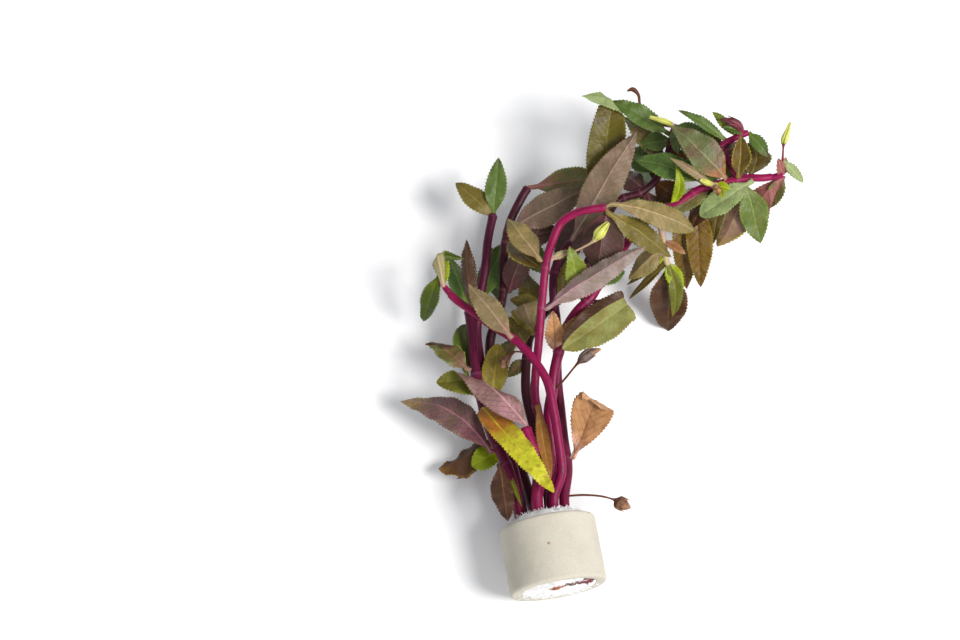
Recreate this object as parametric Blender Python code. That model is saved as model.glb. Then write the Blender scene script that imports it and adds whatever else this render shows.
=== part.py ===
"""Bunch of a stem plant in a clay ring pot, lying on its side.

Lengths are in millimetres up to the point where a mesh is made, which is in metres. The layout's
origin is on the surface below the middle of the ring's foot, with +Y towards the shoot tips. At the
end all is moved so that the origin is the middle of the bounding box, on the surface that it lies on.
"""

import math
from dataclasses import dataclass

import bmesh
import bpy
from mathutils import Matrix, Vector

MM = 0.001
GAP = 0.3

# Ring pot: unglazed clay, lying on its side
RING_OUTER_D = 35.0
RING_BORE_D = 27.0
RING_LENGTH = 24.0
RING_YAW = 10.0
RING_EDGE = 0.8
RING_SEGMENTS = 28

# Mineral wool plug: rows of (share of its radius, place past the ring's foot or past its stem end)
WOOL_FOOT_ROWS = ((0.4, 0.1), (0.93, 0.4), (1.0, 1.7))
WOOL_PROUD_ROWS = ((1.0, 0.2), (0.97, 1.4), (0.88, 2.1), (0.6, 2.4), (0.3, 2.7))
WOOL_LUMP = 0.45
WOOL_SEGMENTS = 16
HOLE_POINTS = 4

# Stems
STEM_SIDES = 6
STEM_STEP = 8.0
STEM_IN_WOOL = 13.0
STEM_OUT_OF_WOOL = 6.0

# Leaves: the rib stands out more on the underside
RIB_ABOVE = 0.22
RIB_BELOW = 0.45
PETIOLE_HALF = 1.1
BANDS = 7
SMALL_BANDS = 4

# A base given nearer than this to a stem's centreline has its leaf leave towards the leaf's tip
ON_CENTRELINE = 0.5

# Edges between facets at a wider angle than this stay sharp
SMOOTH_ANGLE = 50.0

# Outlines: place of the widest point, and how fast the edge rises to it and falls from it
LANCE = (0.45, 1.0, 0.85)
OVATE = (0.38, 0.75, 0.9)
ROUND = (0.5, 0.6, 0.6)
FAN = (0.76, 1.2, 0.45)
FAR = (0.62, 1.0, 0.6)
BLUNT = (0.35, 0.4, 0.8)

# Colours of the sub-parts, as sRGB: colour, roughness
CLAY = ((0.86, 0.84, 0.77), 0.85)
WOOL = ((0.93, 0.94, 0.94), 0.95)
STEM_DARK = ((0.30, 0.08, 0.18), 0.4)
STEM_PINK = ((0.66, 0.13, 0.38), 0.35)
LEAF_GREEN = ((0.45, 0.55, 0.18), 0.5)
LEAF_DARK = ((0.28, 0.36, 0.18), 0.5)
LEAF_MAUVE = ((0.55, 0.42, 0.42), 0.5)
LEAF_OLIVE = ((0.50, 0.45, 0.20), 0.5)
LEAF_YELLOW = ((0.78, 0.74, 0.25), 0.5)
LEAF_TAN = ((0.68, 0.58, 0.42), 0.6)
LEAF_BROWN = ((0.36, 0.26, 0.16), 0.6)
LEAF_DRY = ((0.76, 0.55, 0.34), 0.7)
LEAF_LIME = ((0.62, 0.74, 0.16), 0.45)
BUD_YELLOW = ((0.82, 0.84, 0.35), 0.5)


@dataclass(frozen=True)
class Stem:
    """A stem from its place in the wool (across, height) through its route's points."""

    name: str
    diameter: float
    tip_diameter: float
    entry: tuple
    route: tuple
    finish: tuple = STEM_DARK


@dataclass(frozen=True)
class Fold:
    """A crease across a leaf. Seen from above, it swings the far part round by turn degrees."""

    at: float
    turn: float
    angle: float
    bend: float = 1.3


@dataclass(frozen=True)
class Leaf:
    """A leaf from base to tip. Roll 180 has its underside up, and arch lifts its middle."""

    name: str
    stem: str
    base: tuple
    tip: tuple
    width: float
    finish: tuple
    roll: float = 0.0
    arch: float = 15.0
    cup: float = 8.0
    twist: float = 10.0
    sweep: float = 0.0
    outline: tuple = LANCE
    folds: tuple = ()
    bands: int = BANDS


@dataclass(frozen=True)
class Growth:
    """Small leaves, stalks and buds fused to what they grow from."""

    leaves: tuple = ()
    stalks: tuple = ()


@dataclass(frozen=True)
class Stalk:
    """A round stalk, bud or capsule: points along it and its diameter at each."""

    points: tuple
    diameters: tuple
    sides: int = 6


STEMS = (
    Stem("stem_left_outer", 4.4, 3.8, (-9.0, 20.0), (
        (-18, 43, 21), (-24, 57, 20), (-28, 72, 19), (-30, 84, 18), (-31, 96, 17), (-32, 104, 17))),
    Stem("stem_left_inner", 4.2, 3.4, (-7.5, 13.5), (
        (-16, 45, 14), (-21, 59, 13.5), (-26, 72, 13), (-28, 86, 13), (-29, 97, 13), (-28, 108, 15),
        (-26, 120, 18), (-25, 130, 20), (-23, 140, 21))),
    Stem("stem_low_dark", 4.0, 3.4, (-3.0, 9.5), (
        (-13, 46, 9), (-18, 61, 8), (-22, 74, 8), (-24, 85, 8.5), (-24, 95, 10), (-21, 104, 13),
        (-19, 114, 15), (-19, 125, 17), (-17, 137, 18), (-13, 146, 19), (-10, 151, 20))),
    Stem("stem_mauve_short", 4.2, 4.4, (-2.5, 25.5), (
        (-7, 44, 27), (-10, 51, 28.5), (-12, 56, 29)), STEM_PINK),
    Stem("stem_dark_right", 4.2, 2.8, (2.5, 11.0), (
        (-4, 46, 11), (-8, 60, 12), (-11, 73, 13), (-11, 84, 14), (-10, 93, 15), (-7, 99, 16.5),
        (-2, 105, 18), (4, 111, 21), (11, 119, 24), (14, 126, 26), (18, 135, 27), (23, 143, 27),
        (31, 146, 27), (37, 151, 28), (41, 159, 30), (43, 166, 33))),
    Stem("stem_hooked", 3.5, 3.0, (-3.5, 19.5), (
        (-3, 43, 21), (-5, 55, 23), (-8, 67, 25), (-8, 76, 27.5), (-7, 85, 33), (-6, 97, 38),
        (-5, 107, 42), (-4, 114, 44), (-2, 120, 47), (1, 126, 49), (6, 129, 51), (11, 130, 52),
        (17, 131, 52)), STEM_PINK),
    Stem("stem_leaning", 3.6, 3.0, (3.5, 25.0), (
        (1, 40, 28), (0, 50, 31), (-2, 62, 34), (-4, 71, 35.5), (-8, 78, 36), (-12, 83, 36),
        (-16, 87, 35.5), (-24, 93, 33), (-31, 99, 31), (-36, 103, 30), (-39, 106, 30)), STEM_PINK),
    Stem("stem_thick", 4.8, 2.8, (3.0, 18.0), (
        (-1, 45, 15.5), (-2, 54, 18), (-3, 63, 21), (-2, 70, 24.5), (-1, 78, 27), (1, 86, 29.5),
        (3, 92, 31), (7, 98, 33), (12, 103, 34), (15, 108, 34), (21, 117, 33), (27, 127, 32),
        (34, 134, 33), (39, 137, 34), (43, 138, 35), (49, 142, 36), (53, 144, 37), (60, 146, 37),
        (65, 147, 37), (70, 148, 37), (75, 148, 37), (79, 148.8, 36.2)), STEM_PINK),
    Stem("stem_right", 4.0, 3.2, (7.4, 21.0), (
        (3.4, 43, 20), (2.2, 54, 19.5), (1.2, 65, 19.5), (0.3, 74, 20), (0, 82, 20.5), (0.5, 89, 21),
        (0, 98, 22), (-1, 106, 23), (-1, 114, 26), (1, 120, 29), (5, 125, 32)), STEM_PINK),
)

LEAVES = (
    Leaf("leaf_yellow", "stem_left_outer", (-27, 65, 23), (-2, 31, 33), 9.5, LEAF_YELLOW,
         arch=35, cup=12, twist=-10, outline=BLUNT),
    Leaf("leaf_mauve_folded", "stem_mauve_short", (-12, 56.5, 31), (-38, 85, 38), 13.5, LEAF_MAUVE,
         roll=180, arch=12, cup=14, outline=ROUND, folds=(Fold(0.43, 53, 165, 2.9),), bands=13),
    Leaf("leaf_mauve_long", "stem_left_outer", (-23, 50, 21), (-57, 70, 13), 12.5, LEAF_MAUVE,
         roll=180, arch=28, cup=8, twist=20, sweep=5),
    Leaf("leaf_green_round", "stem_left_inner", (-21, 51, 15), (-31, 46, 13), 9.0, LEAF_LIME,
         arch=15, outline=ROUND),
    Leaf("leaf_curled_brown", "stem_left_inner", (-22, 54.5, 12), (-43, 46, 9), 12.0, LEAF_BROWN,
         roll=180, arch=15, cup=35, twist=40, outline=ROUND),
    Leaf("leaf_by_pot", "stem_left_outer", (-22.5, 43, 24.5), (-18.2, 21.3, 30), 8.5, LEAF_BROWN,
         roll=160, arch=12, cup=20),
    Leaf("leaf_dry_fan", "stem_right", (4.5, 47, 21), (15.3, 69.5, 27.5), 15.0, LEAF_DRY,
         arch=20, cup=14, twist=12, outline=FAN, folds=(Fold(0.88, 150, 110),), bands=11),
    Leaf("leaf_tan_narrow", "stem_hooked", (-7, 64, 29), (-3, 36, 28), 5.2, LEAF_TAN,
         arch=20, cup=20, twist=-20),
    Leaf("leaf_khaki_broad", "stem_left_inner", (-21, 72, 16), (-21.5, 91, 17), 9.8, LEAF_OLIVE,
         roll=-10, arch=20, cup=4, outline=ROUND),
    Leaf("leaf_green_side", "stem_left_outer", (-34.5, 78, 17), (-32.5, 102.5, 5.5), 9.5, LEAF_GREEN,
         roll=28, arch=15, sweep=-2.8),
    Leaf("leaf_dark_curled", "stem_left_outer", (-33, 80.5, 20), (-46, 94, 16), 9.5, LEAF_DARK,
         arch=20, cup=20, folds=(Fold(0.62, 73, 150, 1.9),), bands=12),
    Leaf("leaf_tan_upper", "stem_leaning", (-17, 87, 38), (-32, 107, 37), 9.5, LEAF_TAN,
         roll=180, arch=14, cup=8),
    Leaf("leaf_brown_upright", "stem_left_outer", (-31, 104, 20), (-33, 129, 24), 6.5, LEAF_BROWN,
         roll=150, arch=15, cup=20),
    Leaf("leaf_under_left", "stem_low_dark", (-21, 109, 9), (-24, 135, 0), 9.0, LEAF_DARK,
         arch=15),
    Leaf("leaf_serrated_mauve", "stem_low_dark", (-16, 111, 18), (-12, 124, 26), 9.5, LEAF_MAUVE,
         roll=180, arch=35, outline=ROUND),
    Leaf("leaf_folded_tan", "stem_dark_right", (-8, 94, 20), (-16, 114, 26), 11.0, LEAF_TAN,
         arch=12, cup=8, folds=(Fold(0.55, 180, 165),), bands=13),
    Leaf("leaf_olive_tan", "stem_hooked", (-6, 114, 44), (-18, 132, 38), 9.5, LEAF_TAN,
         roll=180, arch=30, cup=12),
    Leaf("leaf_olive_rim", "stem_hooked", (-6, 112, 40), (-17, 127, 30), 9.0, LEAF_OLIVE,
         arch=30, cup=20, sweep=-1.5),
    Leaf("leaf_mauve_glossy", "stem_low_dark", (-16, 134, 21), (12, 148, 27), 12.5, LEAF_MAUVE,
         roll=180, arch=25, cup=10),
    Leaf("leaf_dark_mauve", "stem_right", (0.5, 117, 22), (11, 140, 28), 10.0, LEAF_MAUVE,
         roll=180, arch=12),
    Leaf("leaf_olive_brown", "stem_low_dark", (-8, 151, 20), (21, 153, 24), 11.5, LEAF_OLIVE,
         roll=180, arch=20, cup=8),
    Leaf("leaf_big_mauve", "stem_right", (6, 126, 34), (29, 163, 44), 13.8, LEAF_MAUVE,
         roll=180, arch=20, cup=6, bands=11),
    Leaf("leaf_big_under", "stem_hooked", (18, 129, 47), (14, 110, 39), 16.0, LEAF_MAUVE,
         roll=186, arch=12, cup=6),
    Leaf("leaf_green_kite", "stem_thick", (9, 103, 34), (4, 118, 47), 8.8, LEAF_GREEN,
         arch=25, cup=10, outline=OVATE),
    Leaf("leaf_pink_folded", "stem_hooked", (-4, 97, 40), (31, 117, 49), 9.5, LEAF_MAUVE,
         roll=165, arch=22, cup=24, twist=16, bands=11),
    Leaf("leaf_green_folded", "stem_thick", (13, 102, 29), (57.5, 98, 30), 15.0, LEAF_GREEN,
         roll=180, arch=8, cup=8, outline=FAR, folds=(Fold(0.29, -136, -167, 1.7),), bands=10),
    Leaf("leaf_end_upper", "stem_hooked", (19.5, 132, 52.3), (48.5, 124.5, 45), 9.5, LEAF_TAN,
         roll=180, arch=30, cup=10, sweep=-1.2, outline=FAR),
    Leaf("leaf_end_lower", "stem_hooked", (18.5, 128, 51), (41, 117, 38), 9.0, LEAF_OLIVE,
         roll=180, arch=28, cup=10),
    Leaf("leaf_tall_yellow", "stem_dark_right", (16.5, 137, 30), (24, 189, 44), 14.0, LEAF_OLIVE,
         arch=14, cup=12, twist=12, sweep=-2.0, outline=OVATE, folds=(Fold(0.73, 93, 160),), bands=13),
    Leaf("leaf_crown_green", "stem_dark_right", (41, 167.5, 33), (20, 178, 38), 8.5, LEAF_DARK,
         arch=30, cup=10),
    Leaf("leaf_spread_green", "stem_thick", (52, 147, 40), (29, 155.5, 35), 10.5, LEAF_DARK,
         arch=30, cup=10, sweep=1.0),
    Leaf("leaf_mottled", "stem_thick", (61, 148, 41), (41.5, 165.5, 45), 13.0, LEAF_MAUVE,
         arch=35, cup=15, outline=OVATE),
    Leaf("leaf_cupped", "stem_thick", (66, 148, 41), (67, 161, 46), 7.0, LEAF_OLIVE,
         arch=30, cup=40),
    Leaf("leaf_dark_olive", "stem_thick", (71, 150, 36), (71.2, 162.3, 35), 11.0, LEAF_DARK,
         arch=20, cup=6, sweep=2.0, outline=ROUND),
    Leaf("leaf_sage", "stem_thick", (71, 144.5, 39.8), (51.8, 133.2, 37), 10.0, LEAF_GREEN,
         arch=20, cup=8, outline=FAR),
    Leaf("leaf_green_right", "stem_thick", (69, 143, 35.5), (75, 127, 25), 11.0, LEAF_DARK,
         arch=20, cup=10),
    Leaf("leaf_mauve_edge", "stem_thick", (67.5, 145.5, 32), (59.5, 127.7, 20), 13.0, LEAF_MAUVE,
         roll=180, arch=25, sweep=-2.5),
    Leaf("leaf_veined_long", "stem_thick", (52, 141, 31), (53.5, 113.5, 15), 10.0, LEAF_YELLOW,
         arch=25, cup=8),
    Leaf("leaf_veined_short", "stem_thick", (45, 138, 30), (49, 115, 8), 8.5, LEAF_YELLOW,
         arch=30, cup=12),
    Leaf("leaf_low_big", "shoot_low", (40.5, 118, 19), (42.3, 101, 0), 14.0, LEAF_BROWN,
         arch=20, cup=12),
    Leaf("leaf_under_crown_left", "stem_dark_right", (31, 147, 23), (36, 167, 0), 9.0, LEAF_DARK,
         arch=20),
    Leaf("leaf_under_crown_right", "stem_thick", (55, 145, 33), (62, 169, 0), 9.0, LEAF_DARK,
         arch=20),
    Leaf("leaf_under_middle", "stem_dark_right", (13, 119, 21), (22, 134, 0), 9.0, LEAF_OLIVE,
         arch=20),
)


def small(base, tip, width, finish=LEAF_GREEN, **options):
    """A small leaf that is fused to what it grows from."""
    return Leaf("", "", base, tip, width, finish, bands=SMALL_BANDS, **options)


FUSED = {
    "stem_left_outer": Growth(leaves=(
        small((-32, 103, 16), (-39, 127, 10), 8.0, arch=20),
        small((-19, 44, 21), (-13, 28, 24), 2.0, arch=20),
    )),
    "stem_left_inner": Growth(leaves=(
        small((-21, 59, 12.5), (-36.5, 43.5, 3), 4.2, arch=5, cup=30, twist=-30, sweep=-2),
        small((-28, 108, 14.5), (-19, 133, 9.5), 9.0),
        small((-23.4, 139, 21), (-37, 152, 22), 8.5, arch=30),
        small((-23, 139.5, 21), (-21, 160, 27), 8.0, arch=25),
    )),
    "stem_low_dark": Growth(leaves=(
        small((-17, 134, 17), (-2, 119, 13), 10.0),
        small((-18.5, 130, 17.5), (3, 135.5, 16.5), 9.0),
        small((-22.5, 85, 9), (-14.5, 94.5, 13), 6.0),
    )),
    "stem_dark_right": Growth(
        leaves=(
            small((-4, 104, 18), (-17, 108, 17), 7.0, arch=20),
            small((-10, 90, 15), (-20, 101, 19), 8.0, arch=50, cup=15),
            small((-11, 86, 14), (-18, 80, 11), 5.0),
            small((38, 153, 28), (26, 166, 23), 10.0),
            small((42.8, 165.2, 31.8), (30.5, 163.3, 31), 8.0),
            small((33, 147, 27), (22, 158, 20), 9.0, roll=180),
            small((-8, 99, 15.5), (-11, 121, 12), 9.0),
            small((40.5, 157.5, 29.5), (25.5, 176, 28), 8.0),
            small((36, 150, 27.8), (38.5, 163.5, 22), 7.5),
            small((42.5, 163, 32), (49, 152, 25), 7.0),
            small((33, 147, 26.5), (39, 132, 26), 9.0, roll=180),
            small((36.5, 150.5, 27.5), (47, 141, 26), 9.5),
            small((25, 144, 26.5), (38, 141, 22), 9.0),
        ),
        stalks=(
            Stalk(((-11, 88, 15), (-15, 87, 20), (-17.5, 84.5, 22), (-19, 82, 22.5), (-20, 80, 22.5)),
                  (0.7, 0.7, 2.0, 3.2, 1.4)),
        ),
    ),
    "stem_hooked": Growth(
        leaves=(small((-3, 114, 44), (5, 118, 42.5), 3.0, arch=20),),
        stalks=(
            Stalk(((-3, 114, 44), (3, 116, 43.5), (9, 118, 46), (13, 119, 49), (15, 122, 50),
                   (18, 126, 50)),
                  (0.7, 0.7, 0.8, 4.2, 3.4, 0.6)),
        ),
    ),
    "stem_thick": Growth(
        leaves=(
            small((1, 85, 29), (7.5, 96, 35), 6.5, arch=30, cup=30),
            small((-0.8, 84, 29), (-2, 97, 37), 7.0, arch=50, cup=20),
            small((15, 108, 34), (25, 116, 26), 5.5),
            small((41, 137.5, 34.5), (43, 150.5, 43.5), 4.2, arch=30, cup=15, sweep=2.5),
            small((56, 145, 36.5), (41, 134, 36), 7.5),
            small((57.5, 145.4, 36), (49, 130.5, 31), 8.5),
            small((58, 145.7, 36.2), (49, 160, 31), 11.0),
            small((66, 147, 36.2), (59, 161, 31), 10.0),
            small((68.5, 147.3, 36.4), (65, 163, 29), 8.0),
            small((60, 146, 36), (57.5, 127, 24), 6.5),
        ),
        stalks=(
            Stalk(((-2, 70, 24), (2.5, 73.5, 31), (6.5, 77, 37), (9, 79, 38.5), (12, 81, 39), (15, 82, 39)),
                  (0.8, 0.8, 1.0, 3.6, 3.0, 0.8)),
        ),
    ),
    "stem_right": Growth(leaves=(small((0.5, 104, 23), (5, 121, 28), 6.0),), stalks=(
        Stalk(((3.0, 33, 20.6), (9, 33, 22), (15, 32.2, 23.5), (19.5, 31, 23.5), (21, 30.2, 23.2),
               (23.5, 29, 22.8), (25.5, 28.2, 22.4)),
              (0.8, 0.8, 0.8, 1.0, 4.4, 4.0, 0.8)),
    )),
}

# Side shoots and tips: a short twig with its small leaves and buds fused to it
SHOOTS = {
    "shoot_rosette": (
        Stalk(((-39.9, 107.2, 30.4), (-41.5, 109, 31)), (2.4, 1.8)),
        Growth(leaves=(
            small((-41, 108, 31), (-46, 131, 35), 5.0, roll=180, arch=40, cup=25,
                  folds=(Fold(0.5, -115, 150),)),
            small((-42.4, 112.6, 32), (-49, 99.5, 16), 7.0, arch=40),
            small((-41, 108, 31), (-41, 123, 29), 4.2, arch=20),
        ), stalks=(
            Stalk(((-41, 108, 31), (-42, 111, 32), (-42.6, 113, 32)), (1.8, 1.6, 1.4)),
        )),
    ),
    "shoot_low": (
        Stalk(((37.2, 133.6, 32.1), (39, 127, 28), (40, 121, 25), (41, 119, 24)), (2.0, 2.2, 2.4, 1.8)),
        Growth(leaves=(
            small((40.2, 120.2, 24.4), (46, 111, 17), 6.5, arch=30),
            small((39.8, 120.6, 24.7), (26, 114, 16), 3.2, arch=10),
            small((40.2, 119.7, 24.2), (27, 110, 11), 3.0, arch=10),
            small((39, 125, 27), (26.5, 114, 22), 8.5, roll=180, arch=35, cup=20),
            small((39.8, 122, 25.6), (33, 119, 24), 4.2, arch=40),
            small((39, 127, 28), (47, 121, 30), 3.4, arch=20, cup=30),
            small((40.6, 119.5, 24.2), (43, 103, 11), 5.5, arch=35, sweep=-2),
        )),
    ),
    "shoot_far_right": (
        Stalk(((79.9, 148.9, 36.1), (82.6, 149.4, 36.6)), (2.4, 2.4)),
        Growth(
            leaves=(
                small((82.4, 148.9, 36.2), (70, 131, 14), 11.5, roll=180, arch=30, sweep=2.5,
                      outline=FAR, folds=(Fold(0.77, 92, 120),)),
                small((82.9, 149.2, 36.2), (78.5, 140.5, 26), 6.5, arch=40, cup=20),
                small((82.0, 149.4, 36.6), (80.5, 154, 41.5), 4.6, arch=40, cup=30, outline=OVATE),
                small((82.3, 149.5, 36.5), (83.5, 155, 40), 4.0, arch=40, cup=30, outline=OVATE),
                small((82.3, 153.5, 40), (90, 146.5, 36), 4.0, arch=40),
            ),
            stalks=(
                Stalk(((82.1, 149.6, 36.7), (82.2, 153.5, 40), (82.2, 157.5, 44), (82.4, 159.3, 45.8),
                       (83.4, 162, 48), (84.3, 164.8, 49.5)),
                      (0.9, 0.9, 0.9, 3.4, 2.2, 0.6)),
            ),
        ),
    ),
    "shoot_crown_top": (
        Stalk(((65, 148.7, 38.2), (63, 154, 39.5), (60, 159, 40), (65, 162, 41), (70, 164, 41.5)),
              (1.8, 2.2, 2.4, 2.4, 2.2)),
        Growth(
            leaves=(
                small((69, 164, 41.5), (60, 165, 44), 4.4, arch=30, cup=30),
                small((70, 164, 41.5), (77, 154.5, 41), 5.5, arch=25),
                small((62, 161, 40.5), (44, 170.5, 47), 4.4, arch=40, sweep=0.3),
                small((63, 156, 39), (50, 170, 36), 5.5),
                small((66, 162.5, 41), (57, 172, 42), 4.5, arch=25),
                small((60.5, 157.5, 39.5), (69.5, 160.5, 37), 5.0),
            ),
            stalks=(
                Stalk(((68, 163.5, 41.5), (66, 166, 43.5), (63, 167, 45), (59.5, 167.5, 45.5)),
                      (1.4, 3.0, 2.4, 0.6)),
            ),
        ),
    ),
    "shoot_crown_left": (
        Stalk(((43.3, 167.9, 34.3), (43.8, 169.2, 36)), (2.4, 2.2)),
        Growth(
            leaves=(
                small((43.7, 168.7, 35.2), (44, 155, 42), 5.0, arch=25),
                small((43.8, 168.9, 35.5), (57, 160, 42), 7.0, arch=30, cup=15),
                small((43.9, 168.5, 35.1), (49, 151, 44), 4.0, roll=180, arch=30),
            ),
            stalks=(
                Stalk(((43.6, 168.8, 35.3), (41, 168.5, 40), (38, 169, 41.5), (34, 170, 42)),
                      (1.2, 2.4, 2.2, 0.6)),
                Stalk(((43.6, 168.8, 35), (38, 172, 31), (33.5, 176, 30), (31.5, 180, 30),
                       (31, 183.5, 30.5), (29, 185.6, 31), (26.8, 185, 31)),
                      (1.0, 1.0, 1.0, 1.0, 1.2, 1.8, 0.6)),
            ),
        ),
    ),
    "flower_buds": (
        Stalk(((57.5, 143.2, 39.4), (57, 143.5, 41.5)), (2.0, 2.6)),
        Growth(
            leaves=(
                small((57, 143.3, 41), (40.5, 152, 47), 4.2, roll=180, arch=20),
                small((57, 143.7, 40.6), (63, 142, 41), 3.4, arch=40, cup=30),
                small((57, 143.5, 41), (60, 138, 43), 3.2, arch=40, cup=30),
            ),
            stalks=(
                Stalk(((57, 143.5, 41), (54, 144, 43), (51.5, 144.5, 44)), (1.4, 2.8, 0.8)),
                Stalk(((57, 143.5, 41), (58, 141, 43), (58.5, 139, 44)), (1.4, 2.6, 0.8)),
            ),
        ),
    ),
}


def linear(value):
    """One sRGB channel as linear light."""
    return value / 12.92 if value <= 0.04045 else ((value + 0.055) / 1.055) ** 2.4


def material_for(name, finish):
    """A plain Principled material for one sub-part."""
    colour, roughness = finish
    material = bpy.data.materials.new(name)
    material.use_nodes = True
    shader = material.node_tree.nodes["Principled BSDF"]
    shader.inputs["Base Color"].default_value = (*[linear(c) for c in colour], 1.0)
    shader.inputs["Roughness"].default_value = roughness
    shader.inputs["Metallic"].default_value = 0.0
    return material


def new_object(name, work, finish):
    """Link an object with the work mesh, which is in millimetres, and shade it smooth."""
    if work.calc_volume(signed=True) < 0:
        bmesh.ops.reverse_faces(work, faces=work.faces)
    bmesh.ops.scale(work, vec=(MM, MM, MM), verts=work.verts)
    mesh = bpy.data.meshes.new(name)
    work.to_mesh(mesh)
    work.free()
    mesh.shade_smooth()
    mesh.set_sharp_from_angle(angle=math.radians(SMOOTH_ANGLE))
    mesh.materials.append(material_for(name, finish))
    made = bpy.data.objects.new(name, mesh)
    bpy.context.collection.objects.link(made)
    return made


def loft(rings, point_end=None):
    """A closed skin over rings of equal length, ending in a cap or in one point."""
    work = bmesh.new()
    rows = [[work.verts.new(p) for p in ring] for ring in rings]
    count = len(rows[0])
    for near, far in zip(rows, rows[1:]):
        for i in range(count):
            j = (i + 1) % count
            work.faces.new((near[i], near[j], far[j], far[i]))
    work.faces.new(list(reversed(rows[0])))
    if point_end is None:
        work.faces.new(rows[-1])
    else:
        tip = work.verts.new(point_end)
        for i in range(count):
            work.faces.new((rows[-1][i], rows[-1][(i + 1) % count], tip))
    return work


def smooth_route(points, step):
    """Points about step apart on a smooth curve through the given points."""
    known = [Vector(p) for p in points]
    ends = [known[0] * 2 - known[1], *known, known[-1] * 2 - known[-2]]
    out = [known[0]]
    for i in range(1, len(ends) - 2):
        a, b, c, d = ends[i - 1:i + 3]
        pieces = max(1, round((c - b).length / step))
        for k in range(1, pieces + 1):
            t = k / pieces
            out.append(0.5 * (2 * b + (c - a) * t + (2 * a - 5 * b + 4 * c - d) * t ** 2
                              + (3 * b - a - 3 * c + d) * t ** 3))
    return out


def tube_rings(points, radii, sides):
    """Rings square to a route, each turned as little as possible from the one before."""
    rings = []
    across = None
    for i, here in enumerate(points):
        along = (points[min(i + 1, len(points) - 1)] - points[max(i - 1, 0)]).normalized()
        if across is None:
            across = along.cross(Vector((0, 0, 1))).normalized()
        across = (across - along * across.dot(along)).normalized()
        other = along.cross(across)
        turns = [2 * math.pi * k / sides for k in range(sides)]
        rings.append([here + (across * math.cos(a) + other * math.sin(a)) * radii[i] for a in turns])
    return rings


def in_ring(across, along, height):
    """A point in the ring's own frame, as a layout point."""
    yaw = math.radians(RING_YAW)
    x = across * math.cos(yaw) - along * math.sin(yaw)
    y = across * math.sin(yaw) + along * math.cos(yaw)
    return (x, y, height)


def stem_course(stem):
    """A stem's centreline and its radius at each point."""
    across, height = stem.entry
    start = RING_LENGTH - STEM_IN_WOOL
    inside = [in_ring(across, w, height) for w in (start, start + 8.0, RING_LENGTH + STEM_OUT_OF_WOOL)]
    points = smooth_route((*inside, *stem.route), STEM_STEP)
    last = len(points) - 1
    thin = stem.tip_diameter - stem.diameter
    radii = [(stem.diameter + thin * i / last) / 2 for i in range(len(points))]
    return points, radii


def make_ring():
    """The ring pot: a turned tube with broken edges, lying along its yaw."""
    outer, bore, e = RING_OUTER_D / 2, RING_BORE_D / 2, RING_EDGE
    profile = [(outer - e, 0.0), (outer, e), (outer, RING_LENGTH - e), (outer - e, RING_LENGTH),
               (bore + e, RING_LENGTH), (bore, RING_LENGTH - e), (bore, e), (bore + e, 0.0)]
    work = bmesh.new()
    rows = []
    for k in range(RING_SEGMENTS):
        turn = 2 * math.pi * (k + 0.5) / RING_SEGMENTS
        low = outer * math.cos(math.pi / RING_SEGMENTS)
        rows.append([work.verts.new(in_ring(r * math.sin(turn), w, low - r * math.cos(turn)))
                     for r, w in profile])
    for k in range(RING_SEGMENTS):
        here, following = rows[k], rows[(k + 1) % RING_SEGMENTS]
        for i in range(len(profile)):
            j = (i + 1) % len(profile)
            work.faces.new((here[i], here[j], following[j], following[i]))
    return new_object("ceramic_ring", work, CLAY)


def make_wool(stem_courses):
    """The wool plug: a lumpy cylinder in the bore, with a hole round each stem."""
    radius = RING_BORE_D / 2 - GAP
    middle = RING_OUTER_D / 2 * math.cos(math.pi / RING_SEGMENTS)
    rings = []
    rows = [*WOOL_FOOT_ROWS, *[(share, RING_LENGTH + w) for share, w in WOOL_PROUD_ROWS]]
    for row, (share, w) in enumerate(rows):
        ring = []
        for k in range(WOOL_SEGMENTS):
            turn = 2 * math.pi * k / WOOL_SEGMENTS
            free = w > RING_LENGTH
            lump = WOOL_LUMP * math.sin(5 * turn + row) * math.cos(3 * turn - 2 * row) if free else 0.0
            r = radius * share - abs(lump)
            ring.append(in_ring(r * math.sin(turn), w + lump, middle - r * math.cos(turn)))
        rings.append(ring)
    plug = new_object("wool_plug", loft(rings), WOOL)
    for name, (points, radii) in stem_courses.items():
        near = points[:HOLE_POINTS]
        start = near[0] - (near[1] - near[0]).normalized() * GAP
        rings = tube_rings([start, *near[1:]], [r + GAP for r in radii[:HOLE_POINTS]], STEM_SIDES)
        cut_from(plug, new_object(f"hole_for_{name}", loft(rings), WOOL), "DIFFERENCE")
    return plug


def cut_from(target, cutter, operation, solver="EXACT"):
    """Give target a Boolean with cutter, which is only a guide."""
    cutter.hide_render = True
    cutter.display_type = "WIRE"
    modifier = target.modifiers.new(f"{operation.lower()}_{cutter.name}", "BOOLEAN")
    modifier.operation = operation
    modifier.solver = solver
    modifier.object = cutter


def bend(point, start, slant, angle, radius):
    """Bend a leaf point past a line across the leaf. A positive angle bends to the upper side."""
    turn = Matrix.Rotation(slant, 3, "Z")
    origin = Vector((0.0, start, 0.0))
    x, s, z = turn.inverted() @ (point - origin)
    if s <= 0.0:
        return point
    side = math.copysign(1.0, angle)
    zone = radius * abs(angle)
    phi = min(s, zone) / radius
    past = max(0.0, s - zone)
    reach = radius - side * z
    y = reach * math.sin(phi) + past * math.cos(phi)
    z = side * (radius - reach * math.cos(phi) + past * math.sin(phi))
    return origin + turn @ Vector((x, y, z))


def edge_share(t, outline):
    """Half width at t along a leaf, as a share of its greatest."""
    peak, rise, fall = outline
    if t < peak:
        return math.sin(math.pi / 2 * t / peak) ** rise
    return math.sin(math.pi / 2 * (1 - t) / (1 - peak)) ** fall


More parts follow.
